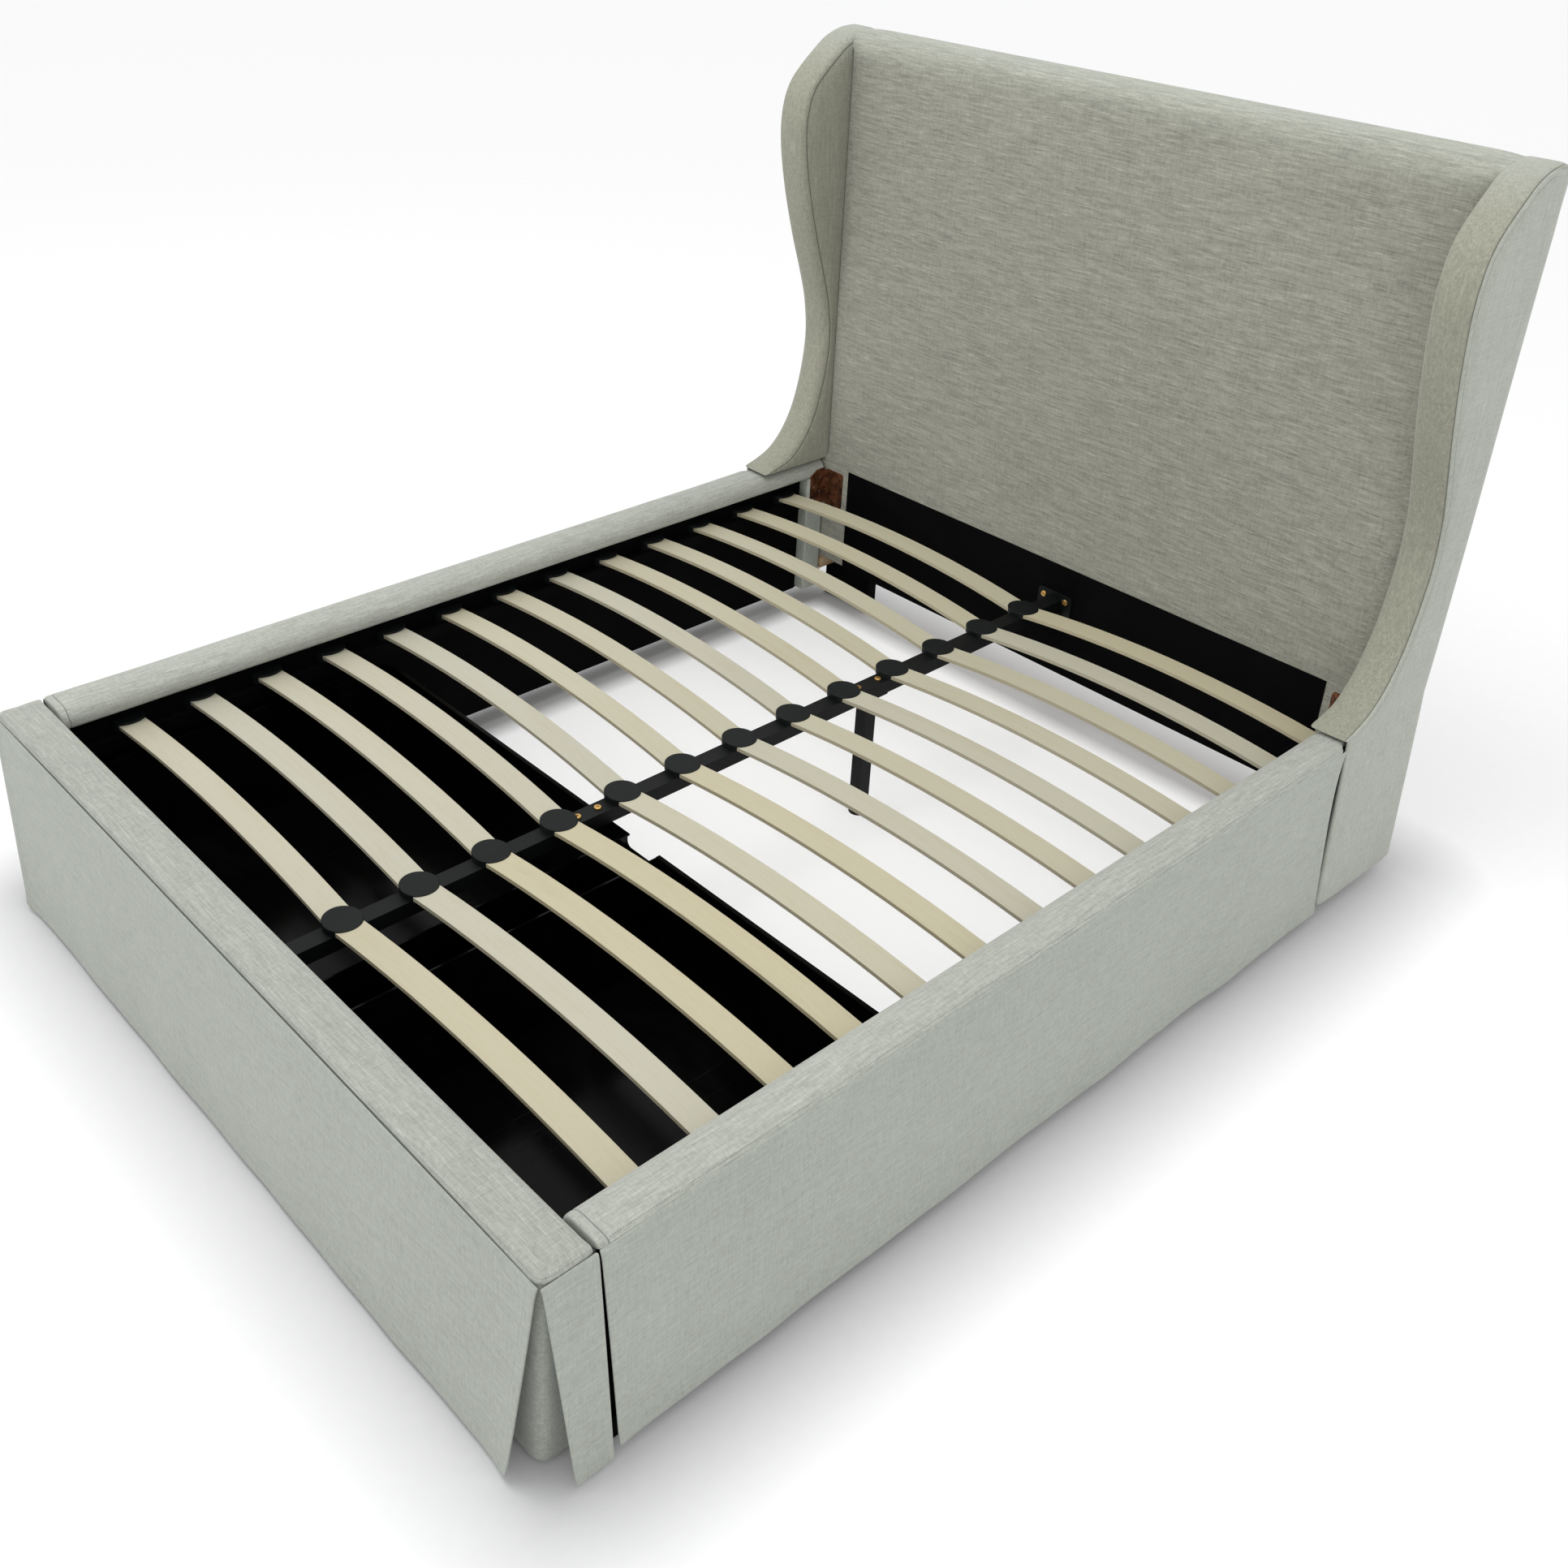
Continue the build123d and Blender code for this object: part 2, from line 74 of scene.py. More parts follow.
def add_camera():
    """The camera, aimed by turn, tilt and roll in degrees."""
    data = bpy.data.cameras.new("camera")
    data.lens = LENS_MM
    data.sensor_width = SENSOR_MM
    data.shift_x, data.shift_y = SHIFT
    camera = bpy.data.objects.new("camera", data)
    scene.collection.objects.link(camera)
    turn = Matrix.Rotation(math.radians(CAMERA_TURN), 4, "Z")
    tilt = Matrix.Rotation(math.radians(90 - CAMERA_TILT), 4, "X")
    roll = Matrix.Rotation(math.radians(CAMERA_ROLL), 4, "Z")
    camera.matrix_world = Matrix.Translation(CAMERA_AT) @ turn @ tilt @ roll
    scene.camera = camera
    return camera


camera = add_camera()
print("camera at", [round(c, 2) for c in camera.location], "lens", LENS_MM, "mm")

# %% [markdown]
# ## Floor and light
# The bed stands on a white studio floor under broad, soft light. A bright even sky lights it from all
# sides, and two big soft lamps, one above the foot end and one off the near corner, make the tops of
# the rails the brightest surfaces and leave a soft shadow close round the skirts.

# %% floor and light
FLOOR_SIZE = 60.0
SKY_STRENGTH = 1.10
LAMPS = {       # place, aim, size in metres, watts
    "key": ((-0.4, -1.4, 4.8), (0.0, -0.2, 0.2), 2.2, 95),
    "side": ((3.6, -2.6, 3.4), (0.6, 0.2, 0.3), 2.6, 16),
}


def clear_picks():
    """Nothing selected and nothing active, so that an operator acts on new work only."""
    for o in bpy.context.selected_objects:
        o.select_set(False)
    bpy.context.view_layer.objects.active = None


def add_floor():
    """A wide plain floor."""
    clear_picks()
    bpy.ops.mesh.primitive_plane_add(size=FLOOR_SIZE, location=(0, 0, 0))
    floor = bpy.context.object
    floor.name = "studio_floor"
    return floor


def add_lamp(name, place, aim, size, watts):
    """A square soft lamp that points at aim."""
    data = bpy.data.lights.new(name, "AREA")
    data.shape = "SQUARE"
    data.size = size
    data.energy = watts
    lamp = bpy.data.objects.new(name, data)
    scene.collection.objects.link(lamp)
    lamp.location = place
    lamp.rotation_euler = (Vector(aim) - Vector(place)).to_track_quat("-Z", "Y").to_euler()
    return lamp


def light_studio():
    """An even white sky and two soft lamps."""
    world = bpy.data.worlds.new("studio")
    scene.world = world
    world.use_nodes = True
    sky = world.node_tree.nodes["Background"]
    sky.inputs["Color"].default_value = (1.0, 1.0, 1.0, 1.0)
    sky.inputs["Strength"].default_value = SKY_STRENGTH
    for name, settings in LAMPS.items():
        add_lamp(name, *settings)
    scene.view_settings.view_transform = "Standard"


floor = add_floor()
light_studio()
print("floor and lamps are in place")

# %% [markdown]
# ## A helper for materials
# A material is a small network of nodes. Written as arithmetic it stays readable, so one small class
# wraps a node's output socket and gives it +, -, * and so on: each adds a Math node. Any other node
# comes from one method, `node`, which sets its options first and its inputs after that.


# %% sockets as numbers
class Wire:
    """An output socket that can be added, multiplied and compared."""

    def __init__(self, maker, socket):
        self.maker = maker
        self.socket = socket

    def _math(self, operation, *values):
        return self.maker.node("ShaderNodeMath", {"operation": operation}, dict(enumerate(values)))

    def __add__(self, other):
        return self._math("ADD", self, other)

    def __radd__(self, other):
        return self._math("ADD", other, self)

    def __sub__(self, other):
        return self._math("SUBTRACT", self, other)

    def __rsub__(self, other):
        return self._math("SUBTRACT", other, self)

    def __mul__(self, other):
        return self._math("MULTIPLY", self, other)

    def __rmul__(self, other):
        return self._math("MULTIPLY", other, self)

    def __truediv__(self, other):
        return self._math("DIVIDE", self, other)

    def __gt__(self, other):
        return self._math("GREATER_THAN", self, other)

    def sine(self):
        return self._math("SINE", self)

    def power(self, exponent):
        return self._math("POWER", self, exponent)

    def size(self):
        return self._math("ABSOLUTE", self)

    def fit(self, low, high):
        """0 at low, 1 at high, held between them."""
        values = {0: self, 1: low, 2: high, 3: 0.0, 4: 1.0}
        return self.maker.node("ShaderNodeMapRange", {"clamp": True}, values)


class Finish:
    """One material under construction."""

    def __init__(self, name):
        self.material = bpy.data.materials.new(name)
        self.material.use_nodes = True
        self.tree = self.material.node_tree
        self.surface = self.tree.nodes["Principled BSDF"]

    def put(self, socket, value):
        """Set a socket to a number or colour, or link a wire to it."""
        if isinstance(value, Wire):
            self.tree.links.new(value.socket, socket)
        elif hasattr(value, "__len__") and len(value) == 3 and socket.type == "RGBA":
            socket.default_value = (*value, 1.0)
        else:
            socket.default_value = value

    def node(self, kind, settings=None, values=None, out=0):
        """Add a node: its settings first, then its inputs by name or number."""
        made = self.tree.nodes.new(kind)
        for key, value in (settings or {}).items():
            setattr(made, key, value)
        for key, value in (values or {}).items():
            self.put(made.inputs[key], value)
        return Wire(self, made.outputs[out])

    def place(self):
        """The point being shaded, in metres from the bed's origin."""
        return self.node("ShaderNodeTexCoord", out="Object")

    def axes(self, vector):
        """The three parts of a vector."""
        split = self.tree.nodes.new("ShaderNodeSeparateXYZ")
        self.put(split.inputs[0], vector)
        return [Wire(self, split.outputs[k]) for k in range(3)]

    def scaled(self, vector, scale, shift=(0.0, 0.0, 0.0)):
        """The vector with each axis stretched by its own factor."""
        return self.node("ShaderNodeMapping", {}, {"Vector": vector, "Scale": scale, "Location": shift})

    def noise(self, vector, scale=1.0, detail=2.0, rough=0.5, warp=0.0):
        """Cloudy noise, 0 to 1."""
        values = {"Vector": vector, "Scale": scale, "Detail": detail, "Roughness": rough, "Distortion": warp}
        return self.node("ShaderNodeTexNoise", {}, values)

    def blend(self, amount, low, high):
        """A colour between low and high."""
        made = self.tree.nodes.new("ShaderNodeMix")
        made.data_type = "RGBA"
        self.put(made.inputs["Factor"], amount)
        self.put(made.inputs[6], low)
        self.put(made.inputs[7], high)
        return Wire(self, made.outputs[2])

    def bump(self, height, strength, depth):
        """Small relief, depth in metres."""
        values = {"Height": height, "Strength": strength, "Distance": depth}
        self.put(self.surface.inputs["Normal"], self.node("ShaderNodeBump", {}, values))

    def give(self, **inputs):
        """Set the surface's own inputs; underscores stand for spaces."""
        for key, value in inputs.items():
            self.put(self.surface.inputs[key.replace("_", " ")], value)
        return self.material


def shade(colour, factor):
    """A colour made lighter or darker by a factor."""
    return tuple(c * factor for c in colour)


print("material helper ready")

# %% [markdown]
# ## Linen
# The cover is a slubbed linen weave in a pale sage grey. What makes linen look like linen is that its
# yarn is uneven: thick lengths of yarn, the slubs, show as short light or dark dashes along the run of
# the yarn. So the material stretches cloudy noise far along one axis and squeezes it across the others.
# The same thing done along the second axis gives the crossing yarn. Noise in three dimensions needs no
# unwrapping and runs round a padded edge without a break. The cloth is laid in different directions on
# different pieces, so the axis that the strong yarn runs along is an argument.

# %% linen
YARN = 0.0011        # spacing of the yarns, metres
SLUB = 0.042         # usual length of a slub, metres
FUZZ_SHEEN = 0.25
SEAM_MARK = "seam"     # the attribute that is 1 along a seam, where the cloth is held still and gets a painted shade line
TOP_LIGHT_BAND = (1.405, 1.475)     # heights over which painted light turns the rolled tops of the headboard and wings paler


def stretched(along, long_scale, short_scale):
    """A scale for each axis, low along the given one."""
    scale = [short_scale, short_scale, short_scale]
    scale["XYZ".index(along)] = long_scale
    return tuple(scale)


def linen(name, colour, run="X", cross="Z", slub_depth=1.0, contrast=1.0, painted_top=None):
    """Slubbed linen whose strong yarn runs along one axis; a given top colour is painted light on a rolled top."""
    f = Finish(name)
    at = f.place()
    fine = 1.0 / YARN
    run_yarn = f.noise(f.scaled(at, stretched(run, 1 / SLUB, fine * 0.5)), 1.0, 2.0, 0.6)
    cross_yarn = f.noise(f.scaled(at, stretched(cross, 1 / SLUB, fine * 0.45), (3.1, 1.7, 0.4)), 1.0, 2.0, 0.6)
    slubs = f.noise(f.scaled(at, stretched(run, 17.0, 230.0), (0.3, 5.2, 8.8)), 1.0, 2.0, 0.6)
    dashes = f.noise(f.scaled(at, stretched(run, 24.0, 480.0), (7.3, 1.2, 2.8)), 1.0, 1.0, 0.5)
    mottle = f.noise(at, 150.0, 3.0, 0.65)
    drift = f.noise(at, 3.5, 2.0, 0.5)
    tone = (run_yarn - 0.5) * (0.35 + 0.25 * slub_depth) + (cross_yarn - 0.5) * 0.50
    tone = tone + (slubs - 0.5) * (0.90 * slub_depth)
    tone = tone + dashes.fit(0.60, 0.74) * (0.42 * slub_depth) - (1 - dashes).fit(0.62, 0.80) * (0.22 * slub_depth)
    tone = (tone + (mottle - 0.5) * 0.60 + (drift - 0.5) * 0.16 + 0.5).fit(0.0, 1.0)
    swing = 0.36 * contrast
    weave = f.blend(tone, shade(colour, 1 - swing), shade(colour, 1 + swing))
    # painted light: above a set height the cloth turns to the paler top colour, as if its rolled top caught more
    # light
    if painted_top:
        swing = 0.30 * contrast
        top_lit_weave = f.blend(tone, shade(painted_top, 1 - swing), shade(painted_top, 1 + swing))
        weave = f.blend(f.axes(at)[2].fit(*TOP_LIGHT_BAND), weave, top_lit_weave)
    # painted shade: the cloth is darkened in a narrow line along each seam, for the shade in its groove
    seam = f.node("ShaderNodeAttribute", {"attribute_name": SEAM_MARK}, out="Fac")
    weave = f.blend(seam.fit(0.10, 0.75) * 0.72, weave, shade(colour, 0.22))
    f.bump(run_yarn * 0.6 + cross_yarn * 0.6 + slubs * 0.5 + mottle * 0.3, 0.5, 0.0006)
    return f.give(Base_Color=weave, Roughness=0.92, Sheen_Weight=FUZZ_SHEEN, Sheen_Roughness=0.45,
                  Specular_IOR_Level=0.2)


# The cuts are all one cloth; their colours differ partly as painted light and shade: the rails and the wings'
# outer sides lighter, the footboard top, front skirt and gussets darker.
LINEN_FACE = (0.241, 0.241, 0.201)      # the headboard's panel
LINEN_TOP_LIT = (0.292, 0.303, 0.258)     # painted light on its rolled top, paler as if lit from above
LINEN_WING = (0.254, 0.254, 0.203)
LINEN_SIDE_LIT = (0.340, 0.355, 0.310)      # the outer sides of the wings, the same cloth made lighter as painted light
LINEN_ROLL = (0.304, 0.315, 0.280)
LINEN_FRONT_SHADED = (0.303, 0.323, 0.288)     # the drawer's front skirt, the same cloth as the side skirts made darker as painted shade
LINEN_SKIRT = (0.327, 0.348, 0.308)
# painted light: the face and the wings get the paler colour on their rolled tops
face_linen = linen("linen_headboard_face", LINEN_FACE, "X", "Z", 1.0, 1.25, painted_top=LINEN_TOP_LIT)
wing_linen = linen("linen_wings", LINEN_WING, "Z", "Y", 0.6, 1.15, painted_top=LINEN_TOP_LIT)
# painted light and shade: from one roll colour, the rails' tops are made lighter and the footboard's top darker
lit_roll_linen_y = linen("linen_rails", shade(LINEN_ROLL, 1.05), "Y", "X", 0.7)
shaded_roll_linen_x = linen("linen_footboard_shaded", shade(LINEN_ROLL, 0.955), "X", "Y", 0.7)
skirt_linen_y = linen("linen_rail_skirts", LINEN_SKIRT, "Y", "Z", 0.4, 0.9)
lit_side_linen = linen("linen_wing_sides_lit", LINEN_SIDE_LIT, "Z", "Y", 0.5, 0.9)
skirt_linen_x = linen("linen_foot_skirt_shaded", LINEN_FRONT_SHADED, "X", "Z", 0.4, 0.9)
# painted shade: the gussets recessed in the open corners get a darker copy of the skirt cloth
shaded_gusset_linen = linen("linen_gussets_shaded", shade(LINEN_SKIRT, 0.87), "X", "Z", 0.6)
print("linen in", len([m for m in bpy.data.materials if m.name.startswith("linen")]), "cuts")

# %% [markdown]
# ## A helper for cloth shapes
# A piece of upholstery is a skin: a sheet that is bent over padding. So each one starts as a flat grid,
# and every point of the grid is carried to its place on the piece. The grid's columns can be packed
# closer where a seam is sewn, which lets a narrow groove be real shape. Padding then swells the skin
# by a short cloth simulation with air pressure behind it, held where it is sewn or tacked down.


# %% skins
WELD_GAP = 0.00001      # points closer than this are one point
AIR_PRESSURE = 3.0      # behind a cloth while it swells
SWELL_FRAMES = 16


def skin(name, columns, rows, place, sewn=None):
    """A grid whose point in a column and row is carried to place(column, row); sewn(column, row) marks seams."""
    clear_picks()
    bpy.ops.mesh.primitive_grid_add(x_subdivisions=columns, y_subdivisions=rows, size=2, location=(0, 0, 0))
    piece = bpy.context.object
    piece.name = name
    piece.data.name = name
    marks = []
    for v in piece.data.vertices:
        column = round((v.co.x + 1) / 2 * columns)
        row = round((v.co.y + 1) / 2 * rows)
        v.co = place(column, row)
        marks.append(float(sewn(column, row)) if sewn else 0.0)
    if sewn:
        layer = piece.data.attributes.new(SEAM_MARK, "FLOAT", "POINT")
        layer.data.foreach_set("value", marks)
    piece.data.update()
    return piece


def edit(piece):
    """Open a piece in edit mode with nothing selected."""
    clear_picks()
    piece.select_set(True)
    bpy.context.view_layer.objects.active = piece
    bpy.ops.object.mode_set(mode="EDIT")
    bpy.ops.mesh.select_all(action="DESELECT")


def done():
    """Back to object mode."""
    bpy.ops.object.mode_set(mode="OBJECT")


def pick(piece, kind, test):
    """Select the vertices, edges or faces of the open piece that pass a test."""
    bpy.ops.object.mode_set(mode="OBJECT")
    mesh = piece.data
    for group in (mesh.vertices, mesh.edges, mesh.polygons):
        group.foreach_set("select", [False] * len(group))
    found = 0
    for item in getattr(mesh, kind):
        if test(item):
            item.select = True
            found += 1
    bpy.ops.object.mode_set(mode="EDIT")
    modes = {"vertices": "VERT", "edges": "EDGE", "polygons": "FACE"}
    bpy.ops.mesh.select_mode(type=modes[kind])
    return found


def weld(piece):
    """Join points that lie on each other, and turn every face outwards."""
    edit(piece)
    bpy.ops.mesh.select_all(action="SELECT")
    bpy.ops.mesh.remove_doubles(threshold=WELD_GAP)
    bpy.ops.mesh.normals_make_consistent(inside=False)
    done()


def face_away(piece, middle):
    """Turn an open skin's faces so that they look away from a point behind it."""
    total = 0.0
    for p in piece.data.polygons:
        total += p.normal.dot(p.center - Vector(middle)) * p.area
    if total < 0:
        piece.data.flip_normals()


def close_ends(piece):
    """Fill the open ends of the piece, which is in edit mode, with one face each."""
    bpy.ops.mesh.select_mode(type="EDGE")
    bpy.ops.mesh.select_all(action="DESELECT")
    bpy.ops.mesh.select_non_manifold(extend=False, use_wire=False, use_multi_face=False, use_non_contiguous=False,
                                     use_verts=False)
    bpy.ops.mesh.edge_face_add()


def modify(piece, kind, **settings):
    """Add a modifier and apply it."""
    clear_picks()
    piece.select_set(True)
    bpy.context.view_layer.objects.active = piece
    modifier = piece.modifiers.new(kind, kind)
    for key, value in settings.items():
        setattr(modifier, key, value)
    bpy.ops.object.modifier_apply(modifier=modifier.name)


def refine(piece, levels=1):
    """Round the piece by a subdivision surface."""
    modify(piece, "SUBSURF", levels=levels, render_levels=levels)


def plump(piece, held, most):
    """Swell a skin by air pressure for a few frames, held where held(point) is true, no point moving far."""
    rest = np.array([v.co for v in piece.data.vertices])
    group = piece.vertex_groups.new(name="sewn")
    marks = piece.data.attributes.get(SEAM_MARK)
    fixed = [v.index for v in piece.data.vertices if held(v.co) or (marks and marks.data[v.index].value > 0.5)]
    group.add(fixed, 1.0, "REPLACE")
    cloth = piece.modifiers.new("cloth", "CLOTH")
    cloth.settings.vertex_group_mass = "sewn"
    cloth.settings.use_pressure = True
    cloth.settings.uniform_pressure_force = AIR_PRESSURE
    cloth.settings.effector_weights.gravity = 0.0
    cloth.settings.quality = 5
    cloth.point_cache.frame_start = 1
    cloth.point_cache.frame_end = SWELL_FRAMES
    for number in range(1, SWELL_FRAMES + 1):
        scene.frame_set(number)
    swollen = piece.evaluated_get(bpy.context.evaluated_depsgraph_get()).to_mesh()
    moved = np.array([v.co for v in swollen.vertices]) - rest
    far = np.linalg.norm(moved, axis=1, keepdims=True)
    moved = moved * (most * np.tanh(far / most) / np.maximum(far, 1e-9))
    piece.modifiers.remove(cloth)
    piece.vertex_groups.remove(group)
    scene.frame_set(1)
    piece.data.vertices.foreach_set("co", (rest + moved).ravel())
    piece.data.update()
    return float(np.abs(moved).max())


def finish_cloth(piece, body, slot, material, *stood_for):
    """Smooth shading, material, the body it rides on and the CAD nodes it stands for; the slot is not used."""
    piece.data.materials.clear()
    piece.data.materials.append(material)
    piece.data.polygons.foreach_set("use_smooth", [True] * len(piece.data.polygons))
    piece.data.update()
    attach(piece, body)
    if stood_for:
        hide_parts(*stood_for)
    return piece


def mirrored(piece, name):
    """A copy of a finished mesh on the other side of the bed, with its own mesh."""
    copy = piece.copy()
    copy.data = piece.data.copy()
    copy.name = name
    copy.data.name = name
    scene.collection.objects.link(copy)
    co = np.array([v.co for v in copy.data.vertices])
    co[:, 0] *= -1
    copy.data.vertices.foreach_set("co", co.ravel())
    copy.data.flip_normals()
    copy.data.update()
    return copy


def clamped(value):
    """A value held between 0 and 1."""
    return min(1.0, max(0.0, value))


def spread(start, end, step):
    """Evenly spaced values from start to end, about step apart."""
    count = max(1, round(abs(end - start) / step))
    return [start + (end - start) * k / count for k in range(count + 1)]


def arc(centre, radius, start, end, count):
    """Points on an arc between two angles in degrees."""
    angles = [math.radians(start + (end - start) * k / count) for k in range(count + 1)]
    return [(centre[0] + radius * math.cos(a), centre[1] + radius * math.sin(a)) for a in angles]


def eased(distance, radius):
    """How far a rounded edge of this radius falls back at a distance from the edge."""
    if distance >= radius:
        return 0.0
    return radius - math.sqrt(max(0.0, radius ** 2 - (radius - distance) ** 2))


print("cloth helpers ready; simulation", "on")

# %% [markdown]
# ## Headboard face
# The front of the headboard is one plain panel of cloth pulled over foam: flat in the field, round where
# it rolls over the top, and drawn back at both sides into the crease where it meets the wings. The skin
# follows one outline from the bottom edge up the face and over the top to the back, swept across the width.

# %% headboard face
FRAME = "bed_frame"
pad_low, pad_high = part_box("headboard_face_pad")
SIDE_EDGE = 0.011       # rounding where the panel meets the wings
TOP_ROLL = 0.042        # rounding of the top's front
TOP_BACK = 0.028        # rounding of the top's back
TOP_TUCK = 0.036        # how much wider the top roll is, where it runs on over the wings
LOW_TUCK = 0.030        # and the part below the rails, where it meets no wing
BACK_SEAM_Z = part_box("headboard_back_panel")[1].z


def headboard_outline():
    """Points up the face and over the top, as (Y, Z)."""
    y0, y1, z0, z1 = pad_low.y, pad_high.y, pad_low.z, pad_high.z
    path = [(y0 + 0.030, z0), (y0 + 0.012, z0)]
    path += arc((y0 + 0.010, z0 + 0.010), 0.010, 250, 180, 3)
    path += [(y0, z) for z in spread(z0 + 0.022, z1 - TOP_ROLL - 0.012, 0.0135)]
    path += arc((y0 + TOP_ROLL, z1 - TOP_ROLL), TOP_ROLL, 180, 90, 8)
    path += arc((y1 - TOP_BACK, z1 - TOP_BACK), TOP_BACK, 90, 0, 6)
    path += [(y1, BACK_SEAM_Z + 0.004), (y1 - 0.004, BACK_SEAM_Z)]
    return path


def outward(path, index):
    """The unit direction to the left of a path's travel."""
    a = Vector(path[max(index - 1, 0)])
    b = Vector(path[min(index + 1, len(path) - 1)])
    along = (b - a).normalized()
    return Vector((-along.y, along.x))


def make_headboard_face():
    """The face panel, with its top roll."""
    path = headboard_outline()
    half = pad_high.x
    wing_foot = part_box("wing_pad_right")[0].z + 0.010
    ends = [0.0, 0.0008, 0.0025, 0.0055, 0.009, 0.014, 0.022]
    xs = [-half + e for e in ends] + spread(-half + 0.034, half - 0.034, 0.0135) + [half - e for e in ends[::-1]]

    def place(column, row):
        y, z = path[row]
        away = outward(path, row)
        fall = eased(half - abs(xs[column]), SIDE_EDGE)
        level = clamped((z - pad_high.z + TOP_ROLL) / 0.030)
        below = clamped((wing_foot - z) / 0.012)
        fall *= (1 - level) * (1 - below)
        dip = 0.006 * level * clamped((abs(xs[column]) - 0.70) / 0.075) ** 2
        wider = 1 + TOP_TUCK * level + LOW_TUCK * below
        return Vector((xs[column] * wider, y - away.x * fall, z - away.y * fall - dip))

    piece = skin("headboard_face", len(xs) - 1, len(path) - 1, place)
    face_away(piece, (0, (pad_low.y + pad_high.y) / 2, 0.9))
    flat_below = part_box("headboard_liner_panel")[1].z + 0.012
    rise = plump(piece, lambda p: abs(p.x) > half - 0.004 or p.z < flat_below or p.y > pad_low.y + 0.05,
                 0.004)
    print("face swells", round(rise * 1000, 1), "mm")
    refine(piece)
    finish_cloth(piece, FRAME, "headboard_fabric", face_linen, "headboard_face_pad")
    return piece


headboard_face = make_headboard_face()
print("headboard face:", len(headboard_face.data.polygons), "faces")


# %% [markdown]
# ## Wings
# Each wing is a padded slab that stands forward of the headboard. Its front edge swings forward over the
# rail at the foot, in at the waist and out again at the shoulder, and is closed by a flat border strip
# between two seams. The cloth of the outer side runs on past the rail to the floor with no seam. The skin
# goes round the slab once: up the inner face, over the rounded inner edge, along the border and back
# along the outer face. Columns of the grid are packed at the two seams, so that each is a real groove.

# %% front edge of a wing
wing_low, wing_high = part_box("wing_pad_right")
panel_low, panel_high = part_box("headboard_side_panel_right")
FRONT_EDGE = [(0.802, 0.430), (0.845, 0.443), (0.885, 0.462), (0.922, 0.497), (0.952, 0.545), (0.972, 0.600),
              (0.986, 0.660), (0.994, 0.720), (0.994, 0.770), (0.988, 0.815), (0.980, 0.855), (0.958, 0.925),
              (0.932, 1.003), (0.908, 1.085), (0.892, 1.150), (0.880, 1.215), (0.876, 1.258), (0.877, 1.300),
              (0.886, 1.342), (0.904, 1.376), (0.934, 1.406), (0.968, 1.434), (1.006, 1.461), (1.051, 1.477),
              (1.104, 1.482)]


def smooth_line(points, step):
    """Even points along a smooth curve through the given ones."""
    pts = [Vector(p) for p in points]
    pts = [pts[0] * 2 - pts[1]] + pts + [pts[-1] * 2 - pts[-2]]
    dense = []
    for k in range(1, len(pts) - 2):
        a, b, c, d = pts[k - 1:k + 3]
        for n in range(12):
            t = n / 12
            dense.append(0.5 * ((2 * b) + (c - a) * t + (2 * a - 5 * b + 4 * c - d) * t * t
                                + (3 * b - a - 3 * c + d) * t ** 3))
    dense.append(pts[-2])
    length = [0.0]
    for a, b in zip(dense, dense[1:]):
        length.append(length[-1] + (b - a).length)
    out = []
    k = 0
    for s in spread(0.0, length[-1], step):
        while k < len(dense) - 2 and length[k + 1] < s:
            k += 1
        part = (s - length[k]) / max(length[k + 1] - length[k], 1e-9)
        out.append(dense[k].lerp(dense[k + 1], part))
    return out


EDGE_LINE = smooth_line(FRONT_EDGE, 0.013)
print("front edge:", len(EDGE_LINE), "stations")

# %% wings
INNER_X, OUTER_X = wing_low.x, wing_high.x
OUTER_SEAM = 0.8535
SIDE_CLOTH_X = 0.846     # inner face of the side cloth that runs down to the floor
SIDE_FLARE = 0.0205      # how far that cloth has swung out at the floor
INNER_ROUND, OUTER_ROUND = 0.011, 0.0045
GROOVE = 0.0022


def border_section():
    """Points round the front of the slab as (X, depth behind the front line, whether it is a seam)."""
    points = [(INNER_X, 0.0155, 0), (INNER_X + GROOVE, 0.0140, 1), (INNER_X, 0.0125, 0)]
    points += [(INNER_X + INNER_ROUND - INNER_ROUND * math.cos(math.radians(a)),
                INNER_ROUND - INNER_ROUND * math.sin(math.radians(a)), 0) for a in (8, 30, 52, 74)]
    points += [(x, -0.0020, 0) for x in (0.794, 0.806, 0.818, 0.830, 0.840, 0.848)]
    points += [(OUTER_SEAM - 0.0016, 0.0, 0), (OUTER_SEAM, GROOVE, 1), (OUTER_SEAM + 0.0012, 0.0012, 0),
               (OUTER_X - 0.0006, OUTER_ROUND * 0.6, 0), (OUTER_X, OUTER_ROUND, 0)]
    return points


def flare(z):
    """How far the lower part of the outer face has swung out at a height."""
    top, bottom = panel_high.z, panel_low.z
    if z > top:
        return 0.0
    share = (top - z) / (top - bottom)
    return SIDE_FLARE * share ** 0.85


